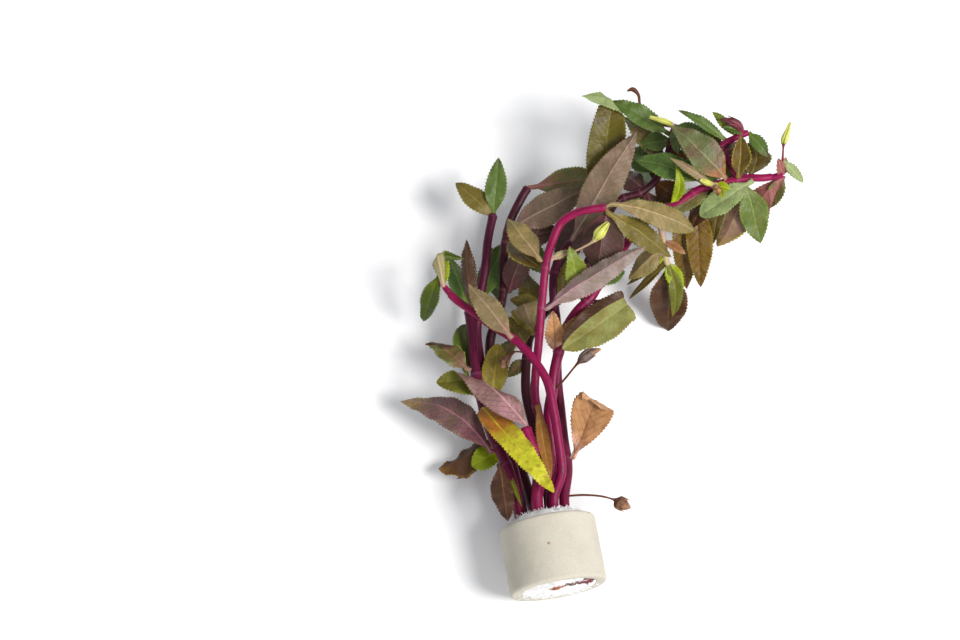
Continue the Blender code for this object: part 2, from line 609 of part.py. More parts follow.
def leaf_axes(leaf, base, tip):
    """The leaf's right, along and up directions, as the columns of a matrix."""
    along = (tip - base).normalized()
    up = Vector((0, 0, 1)) - along * along.z
    up = Matrix.Rotation(math.radians(leaf.roll), 3, along) @ up.normalized()
    right = along.cross(up)
    return Matrix((right, along, up)).transposed()


def leaf_rings(leaf, base, tip):
    """Four-sided rings from a leaf's base towards its tip, and the tip point."""
    facing = 1.0 if math.cos(math.radians(leaf.roll)) >= 0 else -1.0
    arch = math.radians(max(leaf.arch, 1.0))
    length = (tip - base).length * (arch / 2) / math.sin(arch / 2)
    axes = leaf_axes(leaf, base, tip)
    upright = Matrix.Rotation(facing * arch / 2, 3, "X")

    def placed(x, y, z):
        point = Vector((x, y, z))
        for fold in sorted(leaf.folds, key=lambda f: -f.at):
            turn = math.radians(fold.turn) * facing
            slant = turn / 2 - math.copysign(math.pi / 2, turn)
            angle = math.radians(fold.angle)
            start = fold.at * length - fold.bend * abs(angle) / 2
            point = bend(point, start, slant, angle, fold.bend)
        point = bend(point, 0.0, 0.0, -facing * arch, length / arch)
        return base + axes @ (upright @ point)

    rings = []
    for i in range(leaf.bands):
        t = i / leaf.bands
        half = max(PETIOLE_HALF * (1 - t), leaf.width / 2 * edge_share(t, leaf.outline))
        half = min(half, leaf.width / 2)
        cup = math.radians(leaf.cup) * min(1.0, 3 * t)
        roll = math.radians(leaf.twist) * t
        flat = [(-half, half * math.tan(cup)), (0.0, RIB_ABOVE), (half, half * math.tan(cup)),
                (0.0, -RIB_BELOW)]
        shift = leaf.sweep * facing * 4 * t * (1 - t)
        ring = []
        for x, z in flat:
            turned_x = x * math.cos(roll) + z * math.sin(roll)
            turned_z = z * math.cos(roll) - x * math.sin(roll)
            ring.append(placed(turned_x + shift, length * t, turned_z))
        rings.append(ring)
    return rings, placed(0.0, length, 0.0)


def off_the_stem(leaf, course):
    """The leaf's base, moved out to the surface of the stem it grows from, with the gap."""
    points, radii = course
    hint, tip = Vector(leaf.base), Vector(leaf.tip)
    nearest = min(range(len(points)), key=lambda i: (points[i] - hint).length)
    before, after = points[max(nearest - 1, 0)], points[min(nearest + 1, len(points) - 1)]
    along = (after - before).normalized()
    centre = points[nearest] + along * (hint - points[nearest]).dot(along)
    last = points[-1]
    if (centre - last).dot(along) > 0 and nearest == len(points) - 1:
        centre = last
    out = hint - centre
    out = (tip - centre if out.length < ON_CENTRELINE else out).normalized()
    axes = leaf_axes(leaf, hint, tip)
    reach = PETIOLE_HALF * abs(axes.col[0].dot(out)) + RIB_BELOW * abs(axes.col[2].dot(out))
    return centre + out * (radii[nearest] + GAP + reach)


def make_leaf(leaf, course):
    """A leaf in its own node, clear of its stem by the gap, with its twisted quads split in triangles."""
    rings, tip = leaf_rings(leaf, off_the_stem(leaf, course), Vector(leaf.tip))
    work = loft(rings, tip)
    bmesh.ops.triangulate(work, faces=work.faces)
    return new_object(leaf.name, work, leaf.finish)


def stalk_course(stalk):
    """A stalk's points and its radius at each."""
    return [Vector(p) for p in stalk.points], [d / 2 for d in stalk.diameters]


def fuse_growth(target, growth):
    """Join small leaves, stalks and buds to target."""
    for i, leaf in enumerate(growth.leaves):
        rings, tip = leaf_rings(leaf, Vector(leaf.base), Vector(leaf.tip))
        part = new_object(f"{target.name}_leaf_{i}", loft(rings, tip), leaf.finish)
        cut_from(target, part, "UNION", "MANIFOLD")
    for i, stalk in enumerate(growth.stalks):
        points, radii = stalk_course(stalk)
        part = new_object(f"{target.name}_stalk_{i}", loft(tube_rings(points, radii, stalk.sides)),
                          BUD_YELLOW)
        cut_from(target, part, "UNION", "MANIFOLD")


def make_stem(stem, course):
    """A stem: a tapered tube on its route, with what grows from it."""
    points, radii = course
    made = new_object(stem.name, loft(tube_rings(points, radii, STEM_SIDES)), stem.finish)
    if stem.name in FUSED:
        fuse_growth(made, FUSED[stem.name])
    return made


def make_shoot(name):
    """A side shoot: a short twig with its small leaves and buds."""
    twig, growth = SHOOTS[name]
    points, radii = stalk_course(twig)
    made = new_object(name, loft(tube_rings(points, radii, twig.sides)), LEAF_GREEN)
    fuse_growth(made, growth)
    return made


def centre_on_surface(parts):
    """Hang all parts on an empty that puts the origin under the middle of the bounding box."""
    bpy.context.view_layer.update()
    graph = bpy.context.evaluated_depsgraph_get()
    points = []
    for part in parts:
        mesh = part.evaluated_get(graph).to_mesh()
        points += [part.matrix_world @ v.co for v in mesh.vertices]
    low = Vector([min(p[i] for p in points) for i in range(3)])
    high = Vector([max(p[i] for p in points) for i in range(3)])
    root = bpy.data.objects.new("bunch", None)
    bpy.context.collection.objects.link(root)
    root.location = (-(low.x + high.x) / 2, -(low.y + high.y) / 2, -low.z)
    for thing in bpy.data.objects:
        if thing is not root:
            thing.parent = root
    bpy.context.view_layer.update()


def main():
    """Build every piece of the potted bunch."""
    for old in list(bpy.data.objects):
        bpy.data.objects.remove(old, do_unlink=True)
    courses = {stem.name: stem_course(stem) for stem in STEMS}
    parts = [make_ring(), make_wool(courses)]
    parts += [make_stem(stem, courses[stem.name]) for stem in STEMS]
    parts += [make_shoot(name) for name in SHOOTS]
    courses.update({name: stalk_course(twig) for name, (twig, _) in SHOOTS.items()})
    parts += [make_leaf(leaf, courses[leaf.stem]) for leaf in LEAVES]
    centre_on_surface(parts)


if __name__ == "__main__":
    main()
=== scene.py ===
"""Looks of a potted bunch of a red-stemmed stem plant that lies on its side.

Lengths are in millimetres until a mesh is made, which is in metres. The layout's origin is the point
on the surface below the middle of the ring pot's foot, with +Y towards the shoot tips and +Z up.
"""

import logging
import math
from collections.abc import Callable
from dataclasses import dataclass, replace
from enum import Enum
from functools import partial

import bmesh
import bpy
import numpy as np
from mathutils import Matrix, Vector, noise


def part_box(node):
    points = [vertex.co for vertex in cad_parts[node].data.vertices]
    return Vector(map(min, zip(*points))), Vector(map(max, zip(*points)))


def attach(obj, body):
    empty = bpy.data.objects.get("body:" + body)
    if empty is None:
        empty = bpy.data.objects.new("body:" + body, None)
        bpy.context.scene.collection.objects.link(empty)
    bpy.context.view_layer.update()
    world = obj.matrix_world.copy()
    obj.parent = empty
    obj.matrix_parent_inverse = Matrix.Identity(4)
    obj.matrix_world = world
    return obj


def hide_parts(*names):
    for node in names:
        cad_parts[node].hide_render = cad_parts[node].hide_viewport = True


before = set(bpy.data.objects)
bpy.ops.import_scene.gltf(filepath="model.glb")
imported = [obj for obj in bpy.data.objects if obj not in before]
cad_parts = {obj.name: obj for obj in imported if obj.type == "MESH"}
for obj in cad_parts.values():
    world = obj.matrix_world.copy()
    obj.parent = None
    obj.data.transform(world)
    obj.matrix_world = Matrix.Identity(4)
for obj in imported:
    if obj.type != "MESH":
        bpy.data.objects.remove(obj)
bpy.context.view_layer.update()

MM = 0.001
LOG = logging.getLogger("bunch")

# The solids of the leaves stand this far off the solids of their stems
GAP = 0.3

# Distance from a node at which a stem shows nothing of it
NO_NODE = 9.0

# The ring pot lies on one facet of its solid, with its far end turned to the left
RING_YAW = math.radians(10.0)
RING_LENGTH = 24.0
RING_OUTER = 17.5
RING_BORE = 13.5
RING_AXIS = RING_OUTER * math.cos(math.pi / 28)


def in_ring(across: float, along: float, height: float) -> tuple[float, float, float]:
    """Turn a point in the ring pot's own frame into a layout point.

    Args:
        across: Distance from the pot's middle, to the right.
        along: Distance from the foot, along the pot.
        height: Height above the surface.

    Returns:
        The layout point.
    """
    cosine, sine = math.cos(RING_YAW), math.sin(RING_YAW)
    return across * cosine - along * sine, across * sine + along * cosine, height


def round_axis(radius: float, turn: float, along: float) -> tuple[float, float, float]:
    """Return the layout point at a radius and a turn round the ring pot's axis."""
    return in_ring(radius * math.sin(turn), along, RING_AXIS - radius * math.cos(turn))


def layout_shift() -> np.ndarray:
    """Return what carries a layout point to the row frame, in millimetres."""
    low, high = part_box("ceramic_ring")
    middle = in_ring(0.0, RING_LENGTH / 2, 0.0)
    return np.array([(low.x + high.x) / 2 / MM - middle[0], (low.y + high.y) / 2 / MM - middle[1], 0.0])


SHIFT = layout_shift()


def linear(code: str) -> tuple[float, float, float, float]:
    """Turn an sRGB hex code into linear RGBA.

    Args:
        code: Colour such as "#A0B0C0".

    Returns:
        The four linear channels.
    """
    channels = [int(code[i:i + 2], 16) / 255 for i in (1, 3, 5)]
    return (*[c / 12.92 if c <= 0.04045 else ((c + 0.055) / 1.055) ** 2.4 for c in channels], 1.0)


def plug_in(node: bpy.types.Node, sockets: dict | tuple) -> None:
    """Give a node's inputs their values and links.

    Args:
        node: The node.
        sockets: Value or linked output for each input, by name or number, or for the first ones in order.
    """
    for name, value in sockets.items() if isinstance(sockets, dict) else enumerate(sockets):
        if isinstance(value, bpy.types.NodeSocket):
            node.id_data.links.new(value, node.inputs[name])
        else:
            node.inputs[name].default_value = value


def add_node(tree: bpy.types.NodeTree, kind: str, sockets: dict | tuple = (), out: int | str = 0,
             **settings: object) -> bpy.types.NodeSocket:
    """Add a node with its settings, its values and its links.

    Args:
        tree: Node tree that gets the node.
        kind: Blender's type name of the node, from after "ShaderNode".
        sockets: What goes into its inputs, as in plug_in.
        out: Name or number of the output that is wanted.
        settings: Attributes of the node; stops is a colour ramp's places and hex colours.

    Returns:
        The wanted output.
    """
    node = tree.nodes.new("ShaderNode" + kind)
    stops = settings.pop("stops", ())
    while stops and len(node.color_ramp.elements) < len(stops):
        node.color_ramp.elements.new(0.5)
    for i, (place, code) in enumerate(stops):
        node.color_ramp.elements[i].position = place
        node.color_ramp.elements[i].color = linear(code)
    for name, value in settings.items():
        setattr(node, name, value)
    plug_in(node, sockets)
    return node.outputs[out]


Adder = Callable[..., bpy.types.NodeSocket]


def read_layer(add: Adder, layer: str) -> list[bpy.types.NodeSocket]:
    """Return the two values of a layer of texture coordinates."""
    return [add("SeparateXYZ", (add("UVMap", uv_map=layer),), axis) for axis in "XY"]


def coat(add: Adder, under: bpy.types.NodeSocket | tuple, code: str, pattern: bpy.types.NodeSocket,
         start: float, end: float, share: float) -> bpy.types.NodeSocket:
    """Lay a colour over another where a pattern passes from start to end.

    Args:
        add: Adds a node to the material.
        under: The colour below.
        code: The colour above.
        pattern: The pattern.
        start: Its value where the upper colour begins.
        end: Its value where the upper colour is full.
        share: How much the full upper colour covers.

    Returns:
        The colour of both.
    """
    mask = add("MapRange", (pattern, start, end, 0.0, share), interpolation_type="SMOOTHSTEP")
    return add("Mix", {0: mask, 6: under, 7: linear(code)}, 2, data_type="RGBA")


@dataclass(frozen=True)
class Finish:
    """What every finish has: a name, and a material that is made once."""

    name: str

    def paint(self, add: Adder) -> dict:
        """Add the nodes of the finish.

        Args:
            add: Adds a node to the material.

        Returns:
            Value or linked output for the shader's inputs.
        """
        raise NotImplementedError

    def material(self) -> bpy.types.Material:
        """Return the finish's material."""
        known = bpy.data.materials.get(self.name)
        if known:
            return known
        material = bpy.data.materials.new(self.name)
        material.use_nodes = True
        tree = material.node_tree
        plug_in(tree.nodes["Principled BSDF"], self.paint(partial(add_node, tree)))
        return material


@dataclass(frozen=True)
class BladeFinish(Finish):
    """Skin of a leaf blade, soft plant tissue grown thin: a satin skin with sunken veins.

    The colour runs from base to tip, with blotches, a margin, a rib and netted side veins.
    """

    body: str
    base: str
    tip: str
    margin: str
    rib: str
    vein: str
    blotch: str
    blotching: float = 0.5
    veining: float = 0.5
    edging: float = 0.5
    ribbing: float = 0.7
    speckling: float = 0.0
    roughness: float = 0.4
    vein_spacing: float = 2.7
    base_reach: float = 0.14

    def paint(self, add: Adder) -> dict:
        """Add the nodes of the blade and return the shader's inputs."""
        place = add("TexCoord", out="Object")
        across, along = read_layer(add, "share")
        off_rib, run = read_layer(add, "real")
        off_rib = add("Math", (off_rib,), operation="ABSOLUTE")
        centred = add("Math", (across, 2.0, -1.0), operation="MULTIPLY_ADD")
        to_margin = add("Math", (centred,), operation="ABSOLUTE")
        # Patches 7 mm across, mottling 1.2 mm across and cells 0.35 mm across
        patches = add("TexNoise", {"Vector": place, "Scale": 150.0, "Detail": 4.0})
        mottle = add("TexNoise", {"Vector": place, "Scale": 850.0, "Detail": 4.0, "Roughness": 0.65})
        cells = add("TexNoise", {"Vector": place, "Scale": 2900.0, "Detail": 1.0})
        wander = add("Math", (patches, 0.5, along), operation="MULTIPLY_ADD")
        wander = add("Math", (wander, 0.25), operation="SUBTRACT")
        colour = add("ValToRGB", (wander,), stops=(
            (0.0, self.base), (self.base_reach, self.base), (self.base_reach + 0.2, self.body),
            (0.74, self.body), (0.97, self.tip)))
        colour = coat(add, colour, self.blotch, patches, 0.46, 0.66, self.blotching)
        light = add("ValToRGB", (mottle,), stops=((0.3, "#B4B4B4"), (0.7, "#FFFFFF")))
        colour = add("Mix", {0: 0.5, 6: colour, 7: light}, 2, data_type="RGBA", blend_type="MULTIPLY")
        # Side veins rise from the rib at about 40 degrees, and a net of 1 mm meshes lies between them
        lean = add("Math", (off_rib, -1.2, run), operation="MULTIPLY_ADD")
        phase = add("Math", (lean, self.vein_spacing), operation="DIVIDE")
        phase = add("Math", (patches, 0.9, phase), operation="MULTIPLY_ADD")
        line = add("Math", (phase, 0.5), operation="PINGPONG")
        net = add("TexVoronoi", {"Vector": add("UVMap", uv_map="real"), "Scale": 0.9},
                  feature="DISTANCE_TO_EDGE")
        lines, meshes, inner = [
            add("MapRange", (pattern, start, end, 0.0, most), interpolation_type="SMOOTHSTEP")
            for pattern, start, end, most in (
                (line, 0.1, 0.01, 1.0), (net, 0.12, 0.01, 0.38), (to_margin, 0.98, 0.7, 1.0))]
        veins = add("Math", (lines, meshes), operation="MAXIMUM")
        veins = add("Math", (veins, inner), operation="MULTIPLY")
        shown = add("Math", (veins, self.veining), operation="MULTIPLY")
        colour = add("Mix", {0: shown, 6: colour, 7: linear(self.vein)}, 2, data_type="RGBA")
        ragged = add("Math", (mottle, 0.4, to_margin), operation="MULTIPLY_ADD")
        colour = coat(add, colour, self.margin, ragged, 1.0, 1.22, self.edging)
        if self.speckling:
            # Specks 3 mm apart
            dots = add("TexVoronoi", {"Vector": place, "Scale": 330.0})
            colour = coat(add, colour, self.blotch, dots, 0.34, 0.16, self.speckling)
        # The rib is 1 mm wide at the base and narrows to a line
        half = add("MapRange", (along, 0.0, 1.0, 0.48, 0.1))
        rib = add("Math", (off_rib, half), operation="DIVIDE")
        colour = coat(add, colour, self.rib, rib, 1.0, 0.45, self.ribbing)
        gloss = (mottle, 0.3, 0.7, self.roughness - 0.06, self.roughness + 0.1)
        height = add("Math", (veins, -0.8, cells), operation="MULTIPLY_ADD")
        relief = add("Bump", {"Strength": 0.6, "Distance": 0.00012, "Height": height})
        return {"Base Color": colour, "Roughness": add("MapRange", gloss), "Normal": relief,
                "Specular IOR Level": 0.3}


@dataclass(frozen=True)
class StemFinish(Finish):
    """Skin of a fleshy stem, waxy and smooth: streaks along it, and a pale ring at each node."""

    body: str
    dark: str
    light: str
    ring: str
    upper: str
    roughness: float = 0.4

    def paint(self, add: Adder) -> dict:
        """Add the nodes of the stem and return the shader's inputs."""
        place = add("TexCoord", out="Object")
        around, along = read_layer(add, "share")
        off_node, run = read_layer(add, "real")
        angle = add("Math", (around, math.tau), operation="MULTIPLY")
        cosine, sine = [add("Math", (angle,), operation=name) for name in ("COSINE", "SINE")]
        # Streaks 0.8 mm wide and 6 mm long, and mottling 2 mm across
        drawn = add("Math", (run, 0.07), operation="MULTIPLY")
        coil = add("CombineXYZ", (cosine, sine, drawn))
        streaks = add("TexNoise", {"Vector": coil, "Scale": 2.4, "Detail": 4.0, "Roughness": 0.6})
        mottle = add("TexNoise", {"Vector": place, "Scale": 500.0, "Detail": 3.0})
        colour = add("Mix", {0: along, 6: linear(self.body), 7: linear(self.upper)}, 2, data_type="RGBA")
        colour = coat(add, colour, self.dark, streaks, 0.52, 0.3, 0.7)
        colour = coat(add, colour, self.light, streaks, 0.56, 0.78, 0.2)
        # The ring reaches 1 mm to each side of its node, with a ragged edge
        off_node = add("Math", (off_node,), operation="ABSOLUTE")
        off_node = add("Math", (mottle, 0.9, off_node), operation="MULTIPLY_ADD")
        colour = coat(add, colour, self.ring, off_node, 1.3, 0.5, 0.4)
        gloss = (mottle, 0.3, 0.7, self.roughness - 0.05, self.roughness + 0.12)
        height = add("Math", (mottle, 0.5, streaks), operation="MULTIPLY_ADD")
        relief = add("Bump", {"Strength": 0.5, "Distance": 0.0002, "Height": height})
        return {"Base Color": colour, "Roughness": add("MapRange", gloss), "Normal": relief,
                "Specular IOR Level": 0.22}


@dataclass(frozen=True)
class HuskFinish(Finish):
    """Skin of a bud, capsule or dry bract, thin and ribbed: it runs from foot to tip with dark pits."""

    foot: str
    body: str
    tip: str
    pit: str
    pitting: float = 0.4
    roughness: float = 0.5

    def paint(self, add: Adder) -> dict:
        """Add the nodes of the husk and return the shader's inputs."""
        along = read_layer(add, "share")[1]
        # Grain and pits 1.1 mm across
        grain = add("TexNoise", {"Vector": add("TexCoord", out="Object"), "Scale": 900.0, "Detail": 4.0,
                                 "Roughness": 0.7})
        colour = add("ValToRGB", (along,), stops=(
            (0.0, self.foot), (0.35, self.body), (0.7, self.body), (1.0, self.tip)))
        colour = coat(add, colour, self.pit, grain, 0.52, 0.38, self.pitting)
        relief = add("Bump", {"Strength": 0.7, "Distance": 0.0003, "Height": grain})
        return {"Base Color": colour, "Roughness": self.roughness, "Normal": relief, "IOR": 1.42}


@dataclass(frozen=True)
class ClayFinish(Finish):
    """Unglazed earthenware, cast and fired: a matt cream body with fine grit, pores and a few tan specks."""

    name: str = "clay_unglazed"
    body: str = "#BCB6A8"
    cloud: str = "#B1AB9D"
    speck: str = "#8E6B42"
    pore: str = "#9A9381"

    def paint(self, add: Adder) -> dict:
        """Add the nodes of the clay and return the shader's inputs."""
        place = add("TexCoord", out="Object")
        # Clouds 12 mm across, grit 0.4 mm across and specks about 7 mm apart
        clouds = add("TexNoise", {"Vector": place, "Scale": 85.0, "Detail": 4.0})
        grit = add("TexNoise", {"Vector": place, "Scale": 2600.0, "Detail": 3.0, "Roughness": 0.7})
        dots = add("TexVoronoi", {"Vector": place, "Scale": 140.0})
        colour = coat(add, linear(self.body), self.cloud, clouds, 0.4, 0.68, 0.8)
        colour = coat(add, colour, self.pore, grit, 0.46, 0.3, 0.8)
        colour = coat(add, colour, self.speck, dots, 0.1, 0.05, 0.8)
        relief = add("Bump", {"Strength": 0.5, "Distance": 0.00015, "Height": grit})
        return {"Base Color": colour, "Roughness": 0.88, "Normal": relief}


@dataclass(frozen=True)
class WoolFinish(Finish):
    """Mineral wool, spun and pressed: a matt white mass of glassy fibre and grains, with a painted blue-grey
    shade in the hollows between its tufts.
    """

    name: str = "mineral_wool_spun"
    body: str = "#FAFAFA"
    # Painted shade: the blue-grey laid into the hollows between tufts
    hollow_shade: str = "#E2E4E6"

    def paint(self, add: Adder) -> dict:
        """Add the nodes of the wool and return the shader's inputs."""
        # Tufts 1.4 mm across, with finer grain in them; the low places between the tufts get a painted
        # blue-grey shade
        tufts = add("TexNoise", {"Vector": add("TexCoord", out="Object"), "Scale": 700.0, "Detail": 5.0,
                                 "Roughness": 0.7})
        colour = coat(add, linear(self.body), self.hollow_shade, tufts, 0.5, 0.34, 0.9)
        relief = add("Bump", {"Strength": 0.9, "Distance": 0.0005, "Height": tufts})
        return {"Base Color": colour, "Roughness": 0.95, "Normal": relief}


@dataclass(frozen=True)
class PaperFinish(Finish):
    """Paper of the floor, matt and rolled smooth: nearly even white, so that it takes soft shadows."""

    name: str = "white_paper_matt"

    def paint(self, add: Adder) -> dict:
        """Add the nodes of the paper and return the shader's inputs."""
        # Clouds 25 mm across
        clouds = add("TexNoise", {"Vector": add("TexCoord", out="Object"), "Scale": 40.0, "Detail": 3.0})
        return {"Base Color": add("ValToRGB", (clouds,), stops=((0.3, "#F4F5F7"), (0.7, "#F8F8F9"))),
                "Roughness": 1.0}


class Mass(Enum):
    """Finishes of the pot and its filling."""

    CLAY = ClayFinish()
    WOOL = WoolFinish()


class Look(Enum):
    """Finishes of the leaf faces of this bunch, by what the eye sees."""

    YELLOWED = BladeFinish("blade_yellowed", "#C1C128", "#B06A28", "#B8B427", "#B49A34", "#BBB62A",
        "#9B8E1C", "#8D5817", blotching=0.3, speckling=0.5, veining=0.35, base_reach=0.26)
    LIME = BladeFinish("blade_lime", "#8A9A03", "#A5B40A", "#849303", "#A8B60A", "#A1AE0B", "#707E01",
        "#677601")
    KITE = BladeFinish("blade_bright_green", "#758225", "#858F33", "#63731D", "#7B862A", "#858F3C",
        "#59661C", "#67751D")
    GREEN = BladeFinish("blade_green", "#566B23", "#6A7932", "#4F6222", "#788836", "#718039", "#41541A",
        "#6C6A2C")
    DEEP_GREEN = BladeFinish("blade_deep_green", "#506C2C", "#6B8036", "#4A5C29", "#70893D", "#6F8841",
        "#3E5622", "#5B602B")
    GREY_GREEN = BladeFinish("blade_grey_green", "#516727", "#5D712A", "#3D3E18", "#647737", "#637634",
        "#3F551E", "#4D5A26", edging=0.6)
    SAGE = BladeFinish("blade_sage", "#8D9C63", "#95A26E", "#7D8F56", "#8B9E5D", "#9AA673", "#758651",
        "#8B8D63", roughness=0.5)
    SAGE_SPOILED = BladeFinish("blade_sage_spoiled", "#8D9052", "#81623B", "#837F3F", "#747030", "#949358",
        "#797634", "#816F34", blotching=0.6, roughness=0.5)
    OLIVE = BladeFinish("blade_olive", "#6C5F22", "#806E32", "#61531D", "#827D2B", "#7C7133", "#554919",
        "#5D4D1A")
    KHAKI = BladeFinish("blade_khaki", "#8A7A28", "#948732", "#7F7320", "#908925", "#968934", "#6E601A",
        "#70571A")
    DARK_OLIVE = BladeFinish("blade_dark_olive", "#574716", "#60501C", "#453D14", "#797A40", "#7B6D34",
        "#3E3210", "#473410", edging=0.8)
    OLIVE_BROWN = BladeFinish("blade_olive_brown", "#75693A", "#80584A", "#707D3C", "#758738", "#985A59",
        "#5D4C2E", "#5E6D40", edging=0.7)
    YELLOW_OLIVE = BladeFinish("blade_yellow_olive", "#61580B", "#55460D", "#707527", "#6E680D", "#685F11",
        "#483909", "#49360D", blotching=0.7)
    BRONZE = BladeFinish("blade_bronze", "#705601", "#583702", "#6A5202", "#877602", "#4B2803", "#472403",
        "#583B01", veining=0.95, ribbing=0.95, vein_spacing=3.2)
    DEEP_BROWN = BladeFinish("blade_deep_brown", "#482704", "#512F06", "#3D2002", "#644209", "#613F0E",
        "#331802", "#3B2002")
    TAN = BladeFinish("blade_tan_under", "#867550", "#94725F", "#7B6E44", "#84823F", "#A68776", "#745E3F",
        "#6E5A42", blotching=0.4, roughness=0.5)
    TAN_OLIVE = BladeFinish("blade_tan_olive_under", "#897748", "#927B54", "#796935", "#7D7030", "#AA9369",
        "#6E5C34", "#6A6A34", roughness=0.48)
    MAUVE = BladeFinish("blade_mauve_under", "#7F6954", "#8B6C5F", "#6C5543", "#756348", "#AA9180",
        "#644A44", "#5E5D34", veining=0.6, roughness=0.46)
    MAUVE_PINK = BladeFinish("blade_mauve_pink_under", "#7D5B55", "#A5777A", "#71554A", "#705744",
        "#B48A8A", "#593244", "#615431", veining=0.7, roughness=0.46)
    MAUVE_DARK = BladeFinish("blade_mauve_dark_under", "#553732", "#653C3B", "#573E2E", "#543A29",
        "#855258", "#3F2026", "#413F22", veining=0.7)
    MAUVE_LONG = BladeFinish("blade_mauve_yellow_tip", "#725452", "#78494E", "#AE9654", "#7A633F",
        "#A26979", "#59303D", "#5E5230", veining=0.75)
    PALE_PINK = BladeFinish("blade_pale_pink_under", "#908078", "#A18081", "#84796F", "#A17572", "#B3888E",
        "#785E5C", "#87735E", veining=0.5, roughness=0.48)
    FAN_PINK = BladeFinish("blade_fan_pink_under", "#996458", "#B37473", "#804F2E", "#824F39", "#A75D65",
        "#73363E", "#895443", veining=0.9)
    MAUVE_YELLOW = BladeFinish("blade_mauve_yellow_edge", "#8A6C56", "#7D5740", "#846F34", "#A89A2F",
        "#9D7564", "#6C4C42", "#7D6633", edging=0.95, veining=0.6)
    MOTTLED = BladeFinish("blade_mottled", "#61673C", "#975B2D", "#5B6335", "#757D4E", "#82825A", "#48542B",
        "#68513F", blotching=0.95)
    LIME_RIM = BladeFinish("blade_lime_rim", "#66511D", "#6F581F", "#644F19", "#918B23", "#84752F",
        "#4D3D14", "#4F3913", edging=0.95)
    BROWN = BladeFinish("blade_brown", "#4D331E", "#573824", "#3F2713", "#5E4420", "#714B34", "#392114",
        "#3F2614")
    BROWN_GREY = BladeFinish("blade_brown_grey", "#4B301E", "#563826", "#3C2413", "#563A22", "#714A37",
        "#361E14", "#3A2214", veining=0.6)
    TAN_BROWN = BladeFinish("blade_tan_brown", "#916123", "#956C36", "#7A4C17", "#744414", "#9B7034",
        "#6F4416", "#744717", edging=0.7, roughness=0.55)
    CURLED = BladeFinish("blade_curled_brown", "#503014", "#5E3C1C", "#7D571D", "#8F6620", "#6D4823",
        "#381F0A", "#371F0A", edging=0.8, roughness=0.55)
    PAPER = BladeFinish("blade_dry_paper", "#B38457", "#D4A898", "#CFA67E", "#945F35", "#855033", "#855231",
        "#97643B", veining=0.7, blotching=0.5, roughness=0.62)
    OLIVE_FOLDED = BladeFinish("blade_olive_folded", "#5F630C", "#666512", "#5D550A", "#797815", "#71721A",
        "#4B5209", "#5A5209", roughness=0.38)
    ROSETTE = BladeFinish("blade_rosette_green", "#415001", "#586303", "#394801", "#566702", "#556403",
        "#323F00", "#3B4801")
    PALE_STRAW = BladeFinish("blade_pale_straw", "#988F62", "#A49573", "#848043", "#8B863C", "#B3A47A",
        "#807751", "#897C51", roughness=0.5)


class Skin(Enum):
    """Finishes of the stems, by what the eye sees."""

    MAGENTA = StemFinish("stem_magenta_waxy", "#71043B", "#3D021F", "#8F1353", "#8B3D62", "#860742")
    PINK = StemFinish("stem_pink_waxy", "#8B0D4A", "#5E0930", "#A93973", "#AB766F", "#9C265E")
    WINE = StemFinish("stem_wine_waxy", "#6A0834", "#2A0214", "#781844", "#74405A", "#4A0A2A")
    MAROON = StemFinish("stem_maroon_waxy", "#340716", "#19040A", "#52142B", "#74464B", "#420D1F")
    THREAD = StemFinish("pedicel_waxy", "#721C26", "#491217", "#98494C", "#986755", "#732C2E",
        roughness=0.4)
    PALE_THREAD = StemFinish("pedicel_pale_waxy", "#B08880", "#94605E", "#CDB0A0", "#C0AA8A", "#B4A47A",
        roughness=0.4)
    BROWN_THREAD = StemFinish("pedicel_dry", "#6A3428", "#421E16", "#8C5442", "#7A5442", "#5E3A28",
        roughness=0.55)


class Husk(Enum):
    """Finishes of buds, capsules and dry bits."""

    BUD = HuskFinish("bud_fresh", "#A8AC52", "#BFC05A", "#D8D07C", "#8E9A3E", pitting=0.3, roughness=0.42)
    CAPSULE = HuskFinish("capsule_dry", "#4E3A30", "#6A5A54", "#B07A4A", "#382820", pitting=0.7,
        roughness=0.6)
    CAPSULE_BROWN = HuskFinish("capsule_brown", "#5A3626", "#7A543C", "#A87C60", "#3C2218", pitting=0.7,
        roughness=0.6)
    BRACT = HuskFinish("bract_dry", "#A87848", "#BA9060", "#8A5A30", "#4E2E18", pitting=0.6, roughness=0.6)
    TUFT = HuskFinish("flower_spent", "#8E4A34", "#A05C38", "#5E2A26", "#4A1E20", pitting=0.7,
        roughness=0.6)
    PURPLE_TUFT = HuskFinish("flower_spent_purple", "#7A3040", "#6E2A36", "#44181E", "#3A1218", pitting=0.6)


